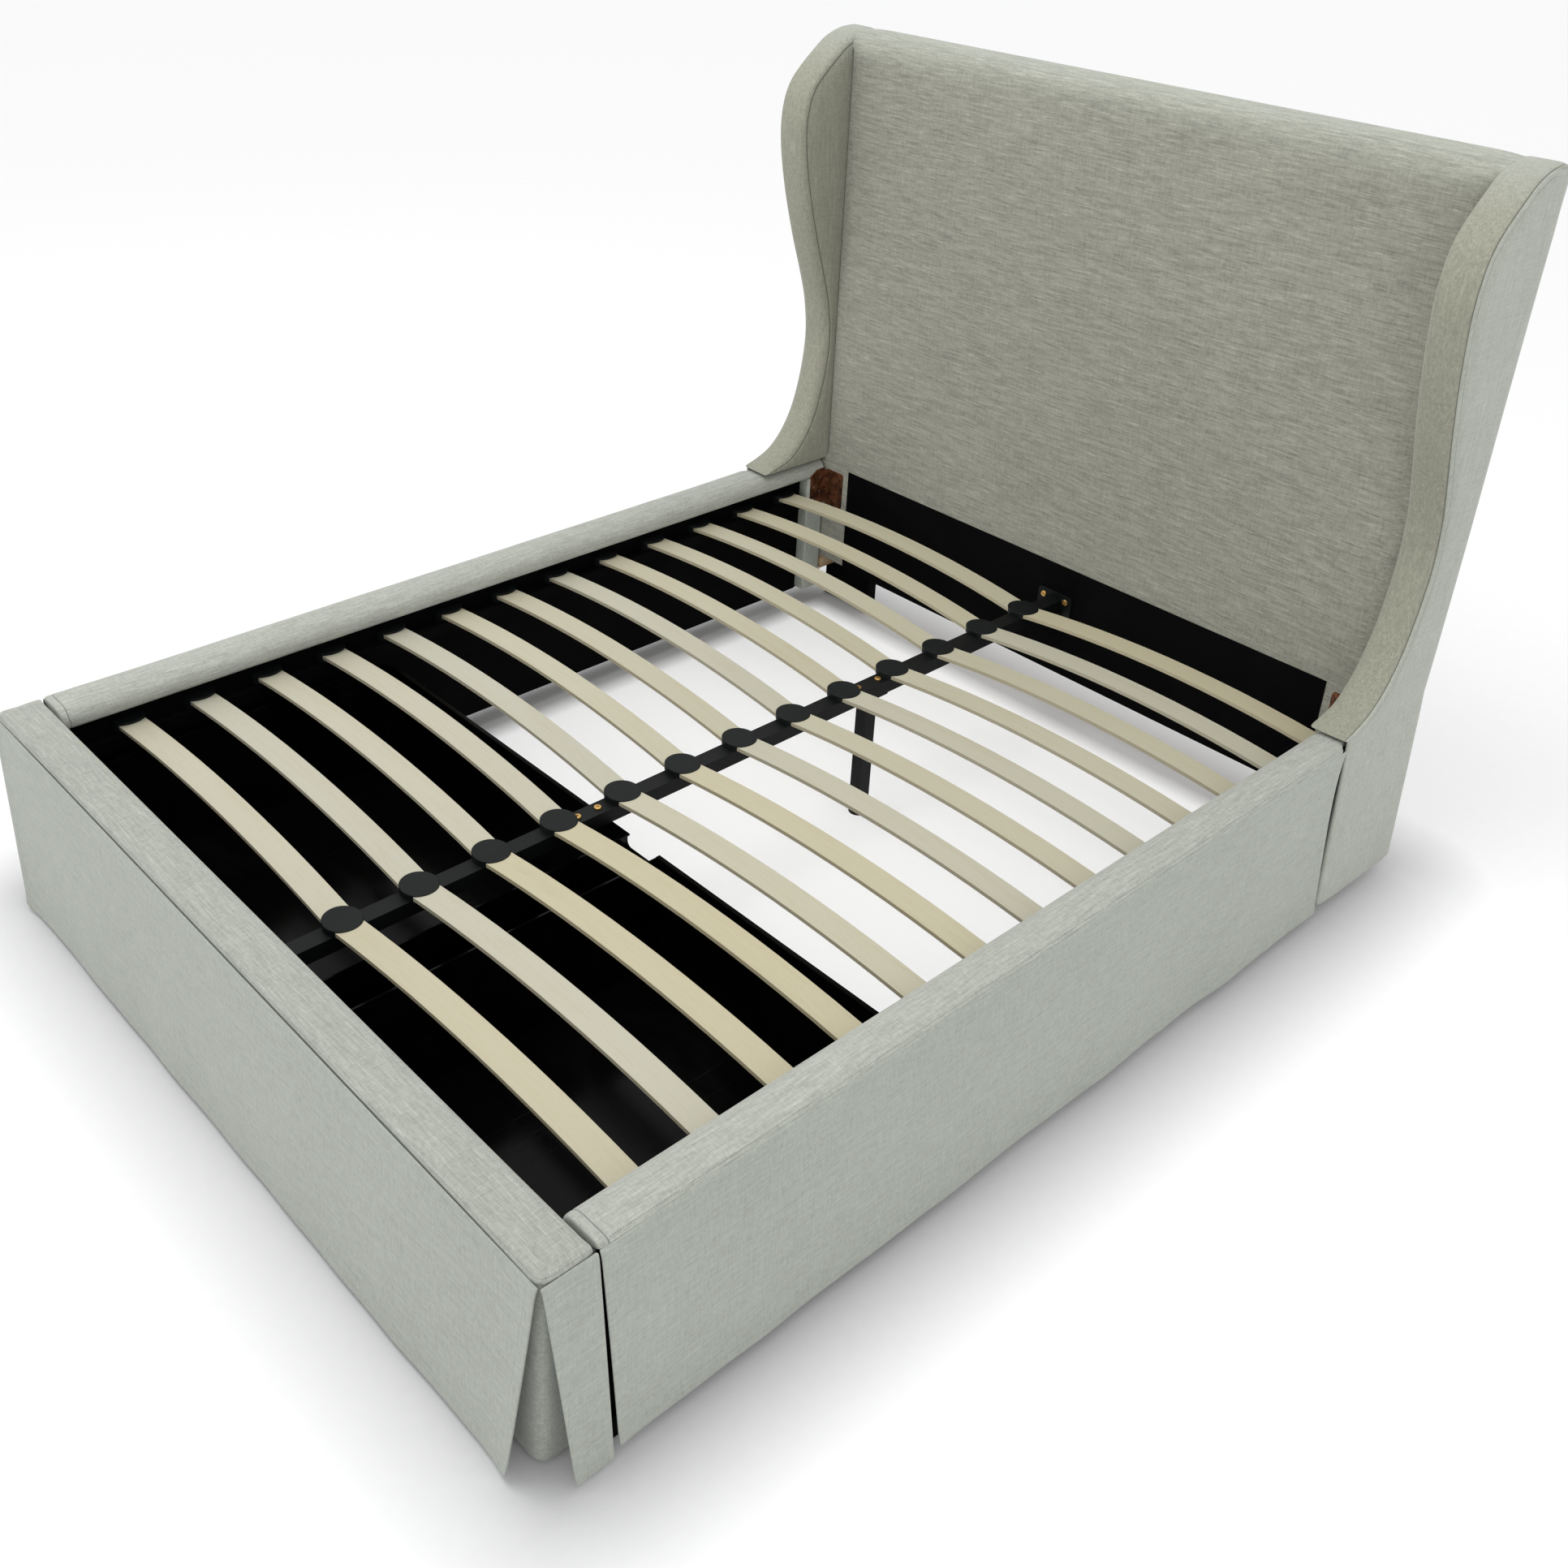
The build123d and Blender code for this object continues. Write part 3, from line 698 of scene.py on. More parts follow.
def make_wing():
    """The right-hand wing with its side cloth down to the floor."""
    border = border_section()
    face_cells = 18
    rear = wing_high.y
    tall = len(EDGE_LINE) - 1
    columns = 2 * face_cells + len(border) - 1 + 6

    def place(column, row):
        front = EDGE_LINE[row]
        share = row / tall
        away = outward(EDGE_LINE, row)
        room = min(1.0, max(0.18, (front.y - wing_low.z - 0.001) / 0.040))
        top_room = min(1.0, max(0.15, (rear - front.x) / 0.05))
        room = min(room, top_room)
        back_z = wing_low.z + (wing_high.z - 0.014 - wing_low.z) * share ** 0.95
        back = Vector((rear, back_z))

        def at(x, depth):
            spot = Vector((front.x, front.y)) - away * depth * room
            return Vector((x, spot.x, max(spot.y, wing_low.z)))

        def along_face(x, t, start_depth):
            start = at(x, start_depth)
            return Vector((x, start.y + (back.x - start.y) * t, start.z + (back.y - start.z) * t))

        if column < face_cells:
            return along_face(INNER_X, 1 - column / face_cells, border[0][1])
        k = column - face_cells
        if k < len(border):
            return at(*border[k][:2])
        k -= len(border) - 1
        if k <= face_cells:
            return along_face(OUTER_X, k / face_cells, OUTER_ROUND)
        k -= face_cells
        return Vector((OUTER_X + (INNER_X - OUTER_X) * k / 6, back.x, back.y))

    seams = [face_cells + k for k, point in enumerate(border) if point[2]]
    piece = skin("wing_right", columns, tall, place, lambda column, row: column in seams)
    weld(piece)

    edit(piece)
    close_ends(piece)
    for spot, way in (((SIDE_CLOTH_X, 0, 0), (1, 0, 0)), ((0, panel_low.y, 0), (0, 1, 0))):
        pick(piece, "polygons", lambda p: p.normal.z < -0.9 and p.center.z < wing_low.z + 0.01)
        bpy.ops.mesh.bisect(plane_co=spot, plane_no=way)
    found = pick(piece, "polygons", lambda p: p.normal.z < -0.9 and p.center.z < wing_low.z + 0.01
                 and p.center.x > SIDE_CLOTH_X and p.center.y > panel_low.y)
    drop = wing_low.z - panel_low.z
    steps = 30
    for k in range(steps):
        bpy.ops.mesh.extrude_region_move(TRANSFORM_OT_translate={"value": (0, 0, -drop / steps)})
    done()
    print("cells lengthened to the floor:", found)
    for v in piece.data.vertices:
        if v.co.z < wing_low.z + 0.0005 and v.co.x > SIDE_CLOTH_X + 0.0005:
            v.co.x += flare(v.co.z)
            wave = noise.noise(Vector((v.co.y * 9.0, 4.2, v.co.z * 2.0)))
            v.co.x += 0.0022 * wave * (wing_low.z - v.co.z) / drop
    for v in piece.data.vertices:
        if v.co.z < wing_low.z + 0.004:
            v.co.z = max(v.co.z, panel_low.z)
    piece.data.update()
    return piece


wing_right = make_wing()


def wing_held(p):
    """Where a wing's cloth is sewn, tacked or pressed against its neighbour."""
    if p.y > pad_low.y - 0.004 and p.x < INNER_X + 0.03:
        return True
    if p.z < wing_low.z + 0.006:
        return True
    return p.y > wing_high.y - 0.006


rise = plump(wing_right, wing_held, 0.0035)
print("wing swells", round(rise * 1000, 1), "mm")
refine(wing_right)
wing_left = mirrored(wing_right, "wing_left")
for wing, hand in ((wing_right, "right"), (wing_left, "left")):
    finish_cloth(wing, FRAME, "headboard_fabric", wing_linen, f"wing_pad_{hand}", f"headboard_side_panel_{hand}")
    # painted light: the outer face below the wing's top gets the lighter copy of the cloth
    wing.data.materials.append(lit_side_linen)
    for p in wing.data.polygons:
        p.material_index = int(abs(p.center.x) > OUTER_SEAM and p.center.z < wing_high.z - 0.004)
print("wings:", len(wing_right.data.polygons), "faces each")


# %% [markdown]
# ## Back of the headboard
# The back is closed by one plain panel of the same cloth, stapled over a board and folded in at its edges.
# Below the middle cross batten the panel stands out a few millimetres, where the lower board is thicker.

# %% back panel
back_low, back_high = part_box("headboard_back_panel")
BACK_TOP = 1.440
STEP_Z, STAND_OUT = 0.571, 0.006


def make_back():
    """The back cloth, one skin with rounded edges and a low step at the cross batten."""
    half = back_high.x - 0.004
    inset = 0.014
    xs = [-half, -half + 0.001, -half + 0.004, -half + 0.008] + spread(-half + inset, half - inset, 0.028)
    xs += [half - 0.008, half - 0.004, half - 0.001, half]
    zs = [back_low.z + up for up in (0.0, 0.001, 0.004, 0.009)] + spread(back_low.z + inset, STEP_Z - 0.012, 0.026)
    zs += spread(STEP_Z - 0.006, STEP_Z + 0.006, 0.003) + spread(STEP_Z + 0.012, BACK_TOP - inset, 0.026)
    zs += [BACK_TOP - down for down in (0.008, 0.004, 0.001, 0.0)]

    def place(column, row):
        x, z = xs[column], zs[row]
        level = pad_high.y + 0.0022 + STAND_OUT * (1 - clamped((z - STEP_Z + 0.006) / 0.012))
        edge = min(half - abs(x), z - back_low.z, BACK_TOP - z)
        slack = 0.0014 * noise.noise(Vector((x * 2.3, 1.1, z * 2.1)))
        return Vector((x, min(back_high.y + 0.002, level + slack) - eased(edge, 0.008) * 0.9, z))

    piece = skin("headboard_back", len(xs) - 1, len(zs) - 1, place)
    face_away(piece, (0, 0.5, 0.8))
    refine(piece)
    finish_cloth(piece, FRAME, "headboard_fabric", face_linen, "headboard_back_panel")
    return piece


headboard_back = make_back()
print("back panel:", len(headboard_back.data.polygons), "faces")

# %% [markdown]
# ## Side rails
# A rail is a board on edge with a soft lip over its top: nearly flat on top, well rounded towards the
# mattress, and turned sharply down outside to the seam that the skirt hangs from. The foot end is boxed,
# with a seam 15 mm back from the end. At the head end an upholstered post closes the corner. The lip is
# one closed section swept along the rail; its stations are packed at the ends, where it rounds off.

# %% rail lips
rail_low, rail_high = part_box("rail_pad_right")
skirt_low, skirt_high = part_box("rail_skirt_right")
board_low, board_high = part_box("rail_board_right")
SEAM_Z = skirt_high.z
LIP_LOW_Z = 0.377        # underside of the lip's inner edge
LIP_INNER_ROUND = 0.031
LIP_OUTER_ROUND = 0.0085
LIP_END_X = 0.8445       # where the lip passes inside the headboard's side cloth it is no wider than this


def lip_section():
    """The closed section of a rail's lip, as (X, Z), clockwise from under the inner edge."""
    x0, x1, z1, low = rail_low.x, rail_high.x, rail_high.z, LIP_LOW_Z
    points = [(x0 + 0.016, low), (x0 + 0.008, low), (x0 + 0.0025, low + 0.002)]
    points += [(x0, low + 0.006), (x0, low + 0.009)]
    points += arc((x0 + LIP_INNER_ROUND, z1 - LIP_INNER_ROUND), LIP_INNER_ROUND, 178, 92, 9)
    points += [(x, z1) for x in (x0 + 0.040, x0 + 0.050, x0 + 0.060, x0 + 0.068)]
    points += arc((x1 - LIP_OUTER_ROUND, z1 - LIP_OUTER_ROUND - 0.0005), LIP_OUTER_ROUND, 88, 0, 6)
    points += [(x1 - 0.0010, SEAM_Z - 0.0005), (x1 - 0.004, SEAM_Z - 0.003), (x1 - 0.012, SEAM_Z - 0.006)]
    points += [(x1 - 0.022, SEAM_Z - 0.012), (x1 - 0.036, SEAM_Z - 0.014)]
    return points + [(x0 + 0.034, low + 0.011), (x0 + 0.026, low)]


def make_lip():
    """The right-hand rail's padded lip."""
    section = lip_section()
    section = section + section[:1]
    y0, y1 = rail_low.y, rail_high.y
    seam = y0 + 0.015
    near = [0.0, 0.0006, 0.002, 0.0045, 0.008, 0.0125]
    ys = [y0 + d for d in near] + [seam - 0.0012, seam, seam + 0.0012, seam + 0.006]
    ys += spread(seam + 0.014, y1 - 0.012, 0.014) + [y1 - 0.006, y1 - 0.002, y1]
    end_round = 0.007
    centre = Vector((rail_low.x + 0.042, 0.400))

    def place(column, row):
        y = ys[column]
        spot = Vector(section[row])
        fall = eased(y - y0, end_round)
        if abs(y - seam) < 0.0001:
            fall = 0.0013
        inward = centre - spot
        spot = spot + inward.normalized() * min(fall, inward.length * 0.6)
        if 0.42 - spot.y < 0.03 and y > seam:
            spot.y += 0.0008 * noise.noise(Vector((1.7, y * 5.0, spot.x * 12.0)))
        x_limit = LIP_END_X if y > panel_low.y - 0.0045 else 1.0
        return Vector((min(spot.x, x_limit), y, spot.y))

    piece = skin("rail_lip_right", len(ys) - 1, len(section) - 1, place, lambda column, row: ys[column] == seam)
    weld(piece)
    edit(piece)
    close_ends(piece)
    done()
    weld(piece)
    rise = plump(piece, lambda p: p.z < SEAM_Z + 0.0012 or abs(p.y - seam) < 0.0008 or p.y < y0 + 0.003
                 or p.y > y1 - 0.004 or p.y > panel_low.y - 0.008, 0.0022)
    print("lip swells", round(rise * 1000, 1), "mm")
    refine(piece)
    return piece


def make_rail_wraps():
    """The cloth round the post at the head end and over the foot end of the board."""
    pieces = []
    post = ("post", rail_low.x, board_low.x, 0.960, rail_high.y, 0.052, 0.3765)
    foot = ("foot", board_low.x - 0.002, board_high.x + 0.002, rail_low.y + 0.0005, board_low.y + 0.004,
            board_low.z, 0.398)
    for label, x0, x1, y0, y1, z0, z1 in (post, foot):
        clear_picks()
        bpy.ops.mesh.primitive_cube_add(size=1, location=((x0 + x1) / 2, (y0 + y1) / 2, (z0 + z1) / 2),
                                        scale=(x1 - x0, y1 - y0, z1 - z0))
        piece = bpy.context.object
        piece.name = piece.data.name = f"rail_{label}_wrap_right"
        bpy.ops.object.transform_apply(location=True, rotation=True, scale=True)
        modify(piece, "BEVEL", width=0.0025 if label == "foot" else 0.005, segments=3)
        edit(piece)
        for z in spread(z0, z1, 0.02)[1:-1]:
            bpy.ops.mesh.select_all(action="SELECT")
            bpy.ops.mesh.bisect(plane_co=(0, 0, z), plane_no=(0, 0, 1))
        done()
        pieces.append(piece)
    return pieces


lip_right = make_lip()
wraps = make_rail_wraps()
lip_left = mirrored(lip_right, "rail_lip_left")
for lip, hand in ((lip_right, "right"), (lip_left, "left")):
    finish_cloth(lip, FRAME, "roll_fabric", lit_roll_linen_y, f"rail_pad_{hand}")
for wrap in wraps:
    other = mirrored(wrap, wrap.name.replace("right", "left"))
    for piece, hand in ((wrap, "right"), (other, "left")):
        finish_cloth(piece, FRAME, "roll_fabric", skirt_linen_y, f"rail_pad_{hand}")
print("rail lips:", len(lip_right.data.polygons), "faces each")

# %% [markdown]
# ## Skirts
# The skirts are lined cloth sewn into the seam below each lip. They hang a little away from the board, more
# so at the hem, and fall in long shallow waves. A thin sheet on a grid does this: each point takes its depth
# from how far down it is, and slow noise gives the waves, which grow towards the hem. Solidify then gives
# the cloth its two sides, and narrow raised bands along the hem and the free ends are the turned edges.

# %% skirts
CLOTH = 0.0022
HEM = 0.022
SLIT_SLANT = 0.017       # how far the open edges beside the drawer lean towards the head on the way down
SLIT_GAPE = 0.024        # how far the skirt's head edge draws back, a quarter of the way down
TURN_RISE = 0.0011       # extra thickness of a turned edge
TURN_STOPS = (0.0, 0.003, 0.008, 0.014, 0.0178, 0.019, 0.0202, 0.0215, 0.024)


def hang(name, columns, rows, place):
    """A thin two-sided sheet from a grid."""
    piece = skin(name, columns, rows, place)
    refine(piece)
    modify(piece, "SOLIDIFY", thickness=CLOTH, offset=0.0)
    weld(piece)
    return piece


def turned_edge(distance, width=HEM):
    """Extra thickness of a turned and stitched edge, with a soft step at its stitching."""
    if distance >= width + 0.002:
        return 0.0
    if distance > width - 0.001:
        return TURN_RISE * (width + 0.002 - distance) / 0.003
    if abs(distance - width + 0.003) < 0.0012:
        return TURN_RISE * 0.35
    return TURN_RISE


def edge_stops(start, end, step):
    """Even stations, packed at both turned edges."""
    stops = [start + d for d in TURN_STOPS] + spread(start + 0.036, end - 0.036, step)
    return stops + [end - d for d in TURN_STOPS[::-1]]


def tuck(below, depth=0.0022):
    """How far a skirt dips into the seam it hangs from, at a distance below the seam."""
    return depth * max(0.0, 1 - below / 0.006)


def make_rail_skirt():
    """The right-hand side skirt."""
    y0, y1 = skirt_low.y - 0.0020, skirt_high.y - 0.0005
    z0, z1 = skirt_low.z, SEAM_Z + 0.0005
    top_x = rail_high.x + 0.0016
    bottom_x = skirt_high.x - 0.0022
    ys = edge_stops(y0, y1, 0.0165)
    zs = edge_stops(z0, z1, 0.0150)

    def place(column, row):
        z = zs[row]
        down = (z1 - z) / (z1 - z0)
        along = (ys[column] - y0) / (y1 - y0)
        y = ys[column] + SLIT_SLANT * down * (1 - along)
        y -= SLIT_GAPE * math.sin(math.pi * down ** 0.5) * along ** 8
        wave = noise.noise(Vector((y * 4.2, 0.3, z * 1.1))) + 0.5 * noise.noise(Vector((y * 9.5, 7.7, z * 2.0)))
        x = top_x + (bottom_x - top_x) * down ** 0.9 + 0.0042 * wave * down ** 1.2
        x -= tuck(z1 - z)
        rim = min(ys[column] - y0, y1 - ys[column])
        x += turned_edge(rim) * min(1.0, (z1 - z) / 0.02) + turned_edge(z - z0)
        return Vector((x, y, z))

    return hang("rail_skirt_cloth_right", len(ys) - 1, len(zs) - 1, place)


rail_skirt_right = make_rail_skirt()
rail_skirt_left = mirrored(rail_skirt_right, "rail_skirt_cloth_left")
for piece, hand in ((rail_skirt_right, "right"), (rail_skirt_left, "left")):
    finish_cloth(piece, FRAME, "skirt_fabric", skirt_linen_y, f"rail_skirt_{hand}")
print("side skirts:", len(rail_skirt_right.data.polygons), "faces each")

# %% [markdown]
# ## The footboard, which is the drawer's front
# The top is one long pad with square-cut ends and softly rounded front corners. Its shape is a plain block
# whose edges are rounded by bevels, so it is modelled as one: a cube, three bevels and a remesh into even
# cells, then swollen a little by the cloth simulation so that it looks stuffed.

# %% drawer lip
DRAWER = "drawer"
foot_low, foot_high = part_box("drawer_front_pad")


def make_drawer_lip():
    """The padded top of the footboard."""
    shrink = 0.0012
    size = foot_high - foot_low
    middle = (foot_high + foot_low) / 2
    clear_picks()
    bpy.ops.mesh.primitive_cube_add(size=1, location=middle, scale=(size.x - 2 * shrink, size.y - shrink, size.z))
    piece = bpy.context.object
    piece.name = piece.data.name = "footboard_lip"
    bpy.ops.object.transform_apply(location=True, rotation=True, scale=True)
    mesh = piece.data

    def upright(e):
        a, b = (mesh.vertices[k].co for k in e.vertices)
        return abs(a.z - b.z) > 0.01 and a.y < middle.y

    def top_edge(e, inner):
        a, b = (mesh.vertices[k].co for k in e.vertices)
        on_inner = min(a.y, b.y) > foot_high.y - 0.004
        return min(a.z, b.z) > foot_high.z - 0.0005 and on_inner == inner

    edit(piece)
    pick(piece, "edges", upright)
    bpy.ops.mesh.bevel(offset=0.019, segments=6)
    pick(piece, "edges", lambda e: top_edge(e, False))
    bpy.ops.mesh.bevel(offset=0.0085, segments=4)
    pick(piece, "edges", lambda e: top_edge(e, True))
    bpy.ops.mesh.bevel(offset=0.016, segments=5)
    done()
    modify(piece, "REMESH", mode="VOXEL", voxel_size=0.0055)
    modify(piece, "SMOOTH", factor=0.5, iterations=4)
    rise = plump(piece, lambda p: p.z < SEAM_Z - 0.002, 0.0022)
    print("footboard pad swells", round(rise * 1000, 1), "mm")
    refine(piece)
    for v in piece.data.vertices:
        below = SEAM_Z - v.co.z
        if below > -0.001:
            away = Vector((v.co.x - max(-0.80, min(0.80, v.co.x)), v.co.y - middle.y, 0))
            if away.length > 0.02:
                v.co -= away.normalized() * 0.0022 * min(1.0, (below + 0.001) / 0.003)
    piece.data.update()
    return piece


footboard_lip = make_drawer_lip()
finish_cloth(footboard_lip, DRAWER, "roll_fabric", shaded_roll_linen_x, "drawer_front_pad")
print("footboard lip:", len(footboard_lip.data.polygons), "faces")

# %% [markdown]
# ## Skirts of the drawer and their open corners
# At each front corner the skirt is cut from seam to hem, and the two free edges swing apart like the sides
# of a tent. Behind the gap hangs a narrow gusset that wraps the corner. The front skirt leans outwards on
# the way down, so its free edges run inwards; the short side pieces have a slanting front edge to match.

# %% drawer skirts
front_low, front_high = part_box("drawer_front_skirt")
side_low, side_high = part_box("drawer_side_skirts")
gusset_low, gusset_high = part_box("drawer_pleat_gussets")
CUT_TOP, CUT_BOTTOM = front_high.x, 0.806
SIDE_TOP_Y, SIDE_BOTTOM_Y = side_low.y - 0.001, -1.064


def make_front_skirt():
    """The front skirt of the drawer."""
    z0, z1 = front_low.z, SEAM_Z + 0.0005
    top_y = foot_low.y - 0.0004
    bottom_y = front_low.y + 0.0018
    ks = edge_stops(-1.0, 1.0, 0.0195)
    zs = edge_stops(z0, z1, 0.0150)

    def place(column, row):
        z = zs[row]
        down = (z1 - z) / (z1 - z0)
        half = CUT_TOP + (CUT_BOTTOM - CUT_TOP) * down
        x = ks[column] * half
        wave = noise.noise(Vector((x * 3.6, 2.3, z * 1.2))) + 0.5 * noise.noise(Vector((x * 8.5, 5.1, z * 2.0)))
        y = top_y + (bottom_y - top_y) * down ** 0.95 - 0.0040 * wave * down ** 1.2
        y += tuck(z1 - z, 0.0016)
        rim = (1 - abs(ks[column])) * half
        y -= turned_edge(rim, 0.020) * min(1.0, (z1 - z) / 0.02) + turned_edge(z - z0)
        curl = max(0.0, 1 - rim / 0.07) ** 2 * down ** 2
        corner = max(0.0, 1 - rim / 0.016) ** 2 * max(0.0, 1 - (z - z0) / 0.016) ** 2
        return Vector((x, y - 0.004 * curl, z + 0.007 * corner))

    return hang("drawer_skirt_front", len(ks) - 1, len(zs) - 1, place)


def make_side_skirt():
    """The short right-hand side skirt of the drawer."""
    z0, z1 = side_low.z, SEAM_Z + 0.0005
    top_x = foot_high.x + 0.0016
    bottom_x = side_high.x - 0.0020
    ts = [0.0, 0.04, 0.11, 0.19, 0.245, 0.262, 0.28, 0.31, 0.40, 0.52, 0.64, 0.76, 0.86, 0.94, 1.0]
    zs = edge_stops(z0, z1, 0.0150)

    def place(column, row):
        z = zs[row]
        down = (z1 - z) / (z1 - z0)
        front = SIDE_TOP_Y + (SIDE_BOTTOM_Y - SIDE_TOP_Y) * down
        rear = side_high.y + 0.0040 + 0.6 * SLIT_SLANT * down
        y = front + (rear - front) * ts[column]
        wave = noise.noise(Vector((y * 9.0, 8.3, z * 2.2)))
        x = top_x + (bottom_x - top_x) * down ** 0.9 + 0.0022 * wave * down
        x -= tuck(z1 - z)
        x += turned_edge(y - front, 0.015) * min(1.0, (z1 - z) / 0.02) + turned_edge(z - z0)
        return Vector((x, y, z))

    return hang("drawer_skirt_side_right", len(ts) - 1, len(zs) - 1, place)


def make_gusset():
    """The cloth behind the right-hand open corner, hung round the corner of the box."""
    top = [(0.772, -1.0945), (0.786, -1.0945), (0.800, -1.0945), (0.814, -1.0945), (0.828, -1.0945),
           (0.840, -1.0940), (0.848, -1.0910), (0.8540, -1.0865), (0.8560, -1.0800), (0.8565, -1.0680),
           (0.8565, -1.0530), (0.8565, -1.0380), (0.8565, -1.0220)]
    bottom = [(0.746, -1.0825), (0.760, -1.0825), (0.773, -1.0825), (0.786, -1.0825), (0.798, -1.0822),
              (0.808, -1.0812), (0.8145, -1.0780), (0.8195, -1.0735), (0.8222, -1.0670), (0.8225, -1.0570),
              (0.8225, -1.0450), (0.8225, -1.0330), (0.8225, -1.0220)]
    z0, z1 = gusset_low.z, gusset_high.z + 0.004
    zs = edge_stops(z0, z1, 0.0150)

    def place(column, row):
        z = zs[row]
        down = (z1 - z) / (z1 - z0)
        a, b = Vector(top[column]), Vector(bottom[column])
        spot = a.lerp(b, down)
        wave = 0.0012 * noise.noise(Vector((spot.x * 20, spot.y * 20, z * 4.0)))
        out = Vector((0.7, -0.7)) * (wave + turned_edge(z - z0))
        return Vector((spot.x + out.x, spot.y + out.y, z))

    return hang("pleat_gusset_right", len(top) - 1, len(zs) - 1, place)


drawer_skirt_front = make_front_skirt()
finish_cloth(drawer_skirt_front, DRAWER, "skirt_fabric", skirt_linen_x, "drawer_front_skirt")
drop = SEAM_Z - front_low.z + 0.04
for make, name, node, width, cloth in (
        (make_side_skirt, "drawer_skirt_side", "drawer_side_skirts", 0.120, skirt_linen_y),
        (make_gusset, "pleat_gusset", "drawer_pleat_gussets", 0.150, shaded_gusset_linen)):
    right = make()
    for piece in (right, mirrored(right, name + "_left")):
        finish_cloth(piece, DRAWER, "skirt_fabric", cloth, node)
        0.62 * width * drop if "side" in name else None
print("drawer skirts are hung")


# %% [markdown]
# ## Topstitching
# A row of thread runs beside each seam of the lips and wings. One stitch is modelled, a short rod of thread
# whose ends dive into the cloth, and copied along a guide line. Each copy is laid on the nearest point of the
# cloth and turned to lie flat on it, so the row follows the padding wherever it has swollen.

# %% stitches
STITCH_LONG, STITCH_PITCH, THREAD = 0.0030, 0.0042, 0.00045
ROW_Z, ROW_INSET = 0.4185, 0.0045       # height of the rows on the lips, and how far in from the lips' sides
CORNER_TURN = 0.016                     # radius of the row round a corner of the footboard
thread_linen = linen("linen_thread", shade(LINEN_ROLL, 0.62), "X", "Z", 0.3)


def model_stitch():
    """One stitch along X, with pinched ends."""
    clear_picks()
    bpy.ops.mesh.primitive_cylinder_add(vertices=6, radius=THREAD, depth=STITCH_LONG * 0.6, location=(0, 0, 0),
                                        rotation=(0, math.pi / 2, 0))
    piece = bpy.context.object
    bpy.ops.object.transform_apply(location=True, rotation=True, scale=True)
    edit(piece)
    for way in (-1, 1):
        pick(piece, "polygons", lambda p: p.normal.x * way > 0.9)
        move = (way * STITCH_LONG * 0.2, 0, -THREAD)
        bpy.ops.mesh.extrude_region_move(TRANSFORM_OT_translate={"value": move})
        bpy.ops.mesh.merge(type="CENTER")
    done()
    return piece


def sew(name, cloth, guide, body, slot):
    """A row of stitches on the cloth along a guide line."""
    points = np.array([v.co for v in stitch.data.vertices])
    faces = [list(p.vertices) for p in stitch.data.polygons]
    surface = BVHTree.FromPolygons([v.co for v in cloth.data.vertices], [p.vertices for p in cloth.data.polygons])
    line = smooth_line(guide, STITCH_PITCH)
    corners, rings = [], []
    for a, b in zip(line, line[1:]):
        spot, normal = surface.find_nearest((a + b) / 2)[:2]
        along = b - a
        along = (along - normal * along.dot(normal)).normalized()
        turn = np.array([along, normal.cross(along), normal])
        first = len(corners) * len(points)
        corners.append(points @ turn + np.array(spot))
        rings += [[first + k for k in face] for face in faces]
    mesh = bpy.data.meshes.new(name)
    mesh.from_pydata(np.concatenate(corners).tolist(), [], rings)
    row = bpy.data.objects.new(name, mesh)
    scene.collection.objects.link(row)
    return finish_cloth(row, body, slot, thread_linen)


stitch = model_stitch()
side_x, front_y = foot_high.x - ROW_INSET, foot_low.y + ROW_INSET
corner = [Vector((side_x - CORNER_TURN * (1 - math.sin(math.radians(a))),
                  front_y + CORNER_TURN * (1 - math.cos(math.radians(a))), ROW_Z)) for a in (0, 30, 60, 90)]
right_half = corner + [Vector((side_x, y, ROW_Z)) for y in (-1.060, -1.040, -1.020)]
left_half = [Vector((-p.x, p.y, p.z)) for p in right_half[::-1]]
middle_part = [Vector((x, front_y, ROW_Z)) for x in np.linspace(-0.80, 0.80, 17)]
sew("footboard_stitches", footboard_lip, left_half + middle_part + right_half, DRAWER, "roll_fabric")
rail_guide = [Vector((rail_high.x - ROW_INSET, y, ROW_Z)) for y in np.linspace(-0.988, panel_low.y - 0.010, 24)]
sew("rail_stitches_right", lip_right, rail_guide, FRAME, "roll_fabric")
sew("rail_stitches_left", lip_left, [Vector((-p.x, p.y, p.z)) for p in rail_guide], FRAME, "roll_fabric")
edge_guide = []
for k in range(2, len(EDGE_LINE) - 3, 3):
    back = outward(EDGE_LINE, k) * 0.0115
    edge_guide.append(Vector((OUTER_X, EDGE_LINE[k].x - back.x, EDGE_LINE[k].y - back.y)))
sew("wing_stitches_right", wing_right, edge_guide, FRAME, "headboard_fabric")
sew("wing_stitches_left", wing_left, [Vector((-p.x, p.y, p.z)) for p in edge_guide], FRAME, "headboard_fabric")
bpy.data.objects.remove(stitch)
print("stitches sewn")


# %% [markdown]
# ## Birch slats
# The slats are laminated birch, pale and barely shiny. The grain runs along each slat, so the noise is drawn
# out along X. Every slat comes from a different sheet: the row that a point lies in picks a slightly warmer
# or greyer tint, and the left and right halves differ as well. The thin edge shows the glued plies.

# %% birch
ROW_PITCH = 0.1475
FIRST_ROW = 0.8725      # how far the first row of slats lies on the foot side of the origin
BIRCH = (0.406, 0.385, 0.284)
BIRCH_WARM = (0.410, 0.368, 0.240)
BIRCH_GREY = (0.385, 0.374, 0.300)


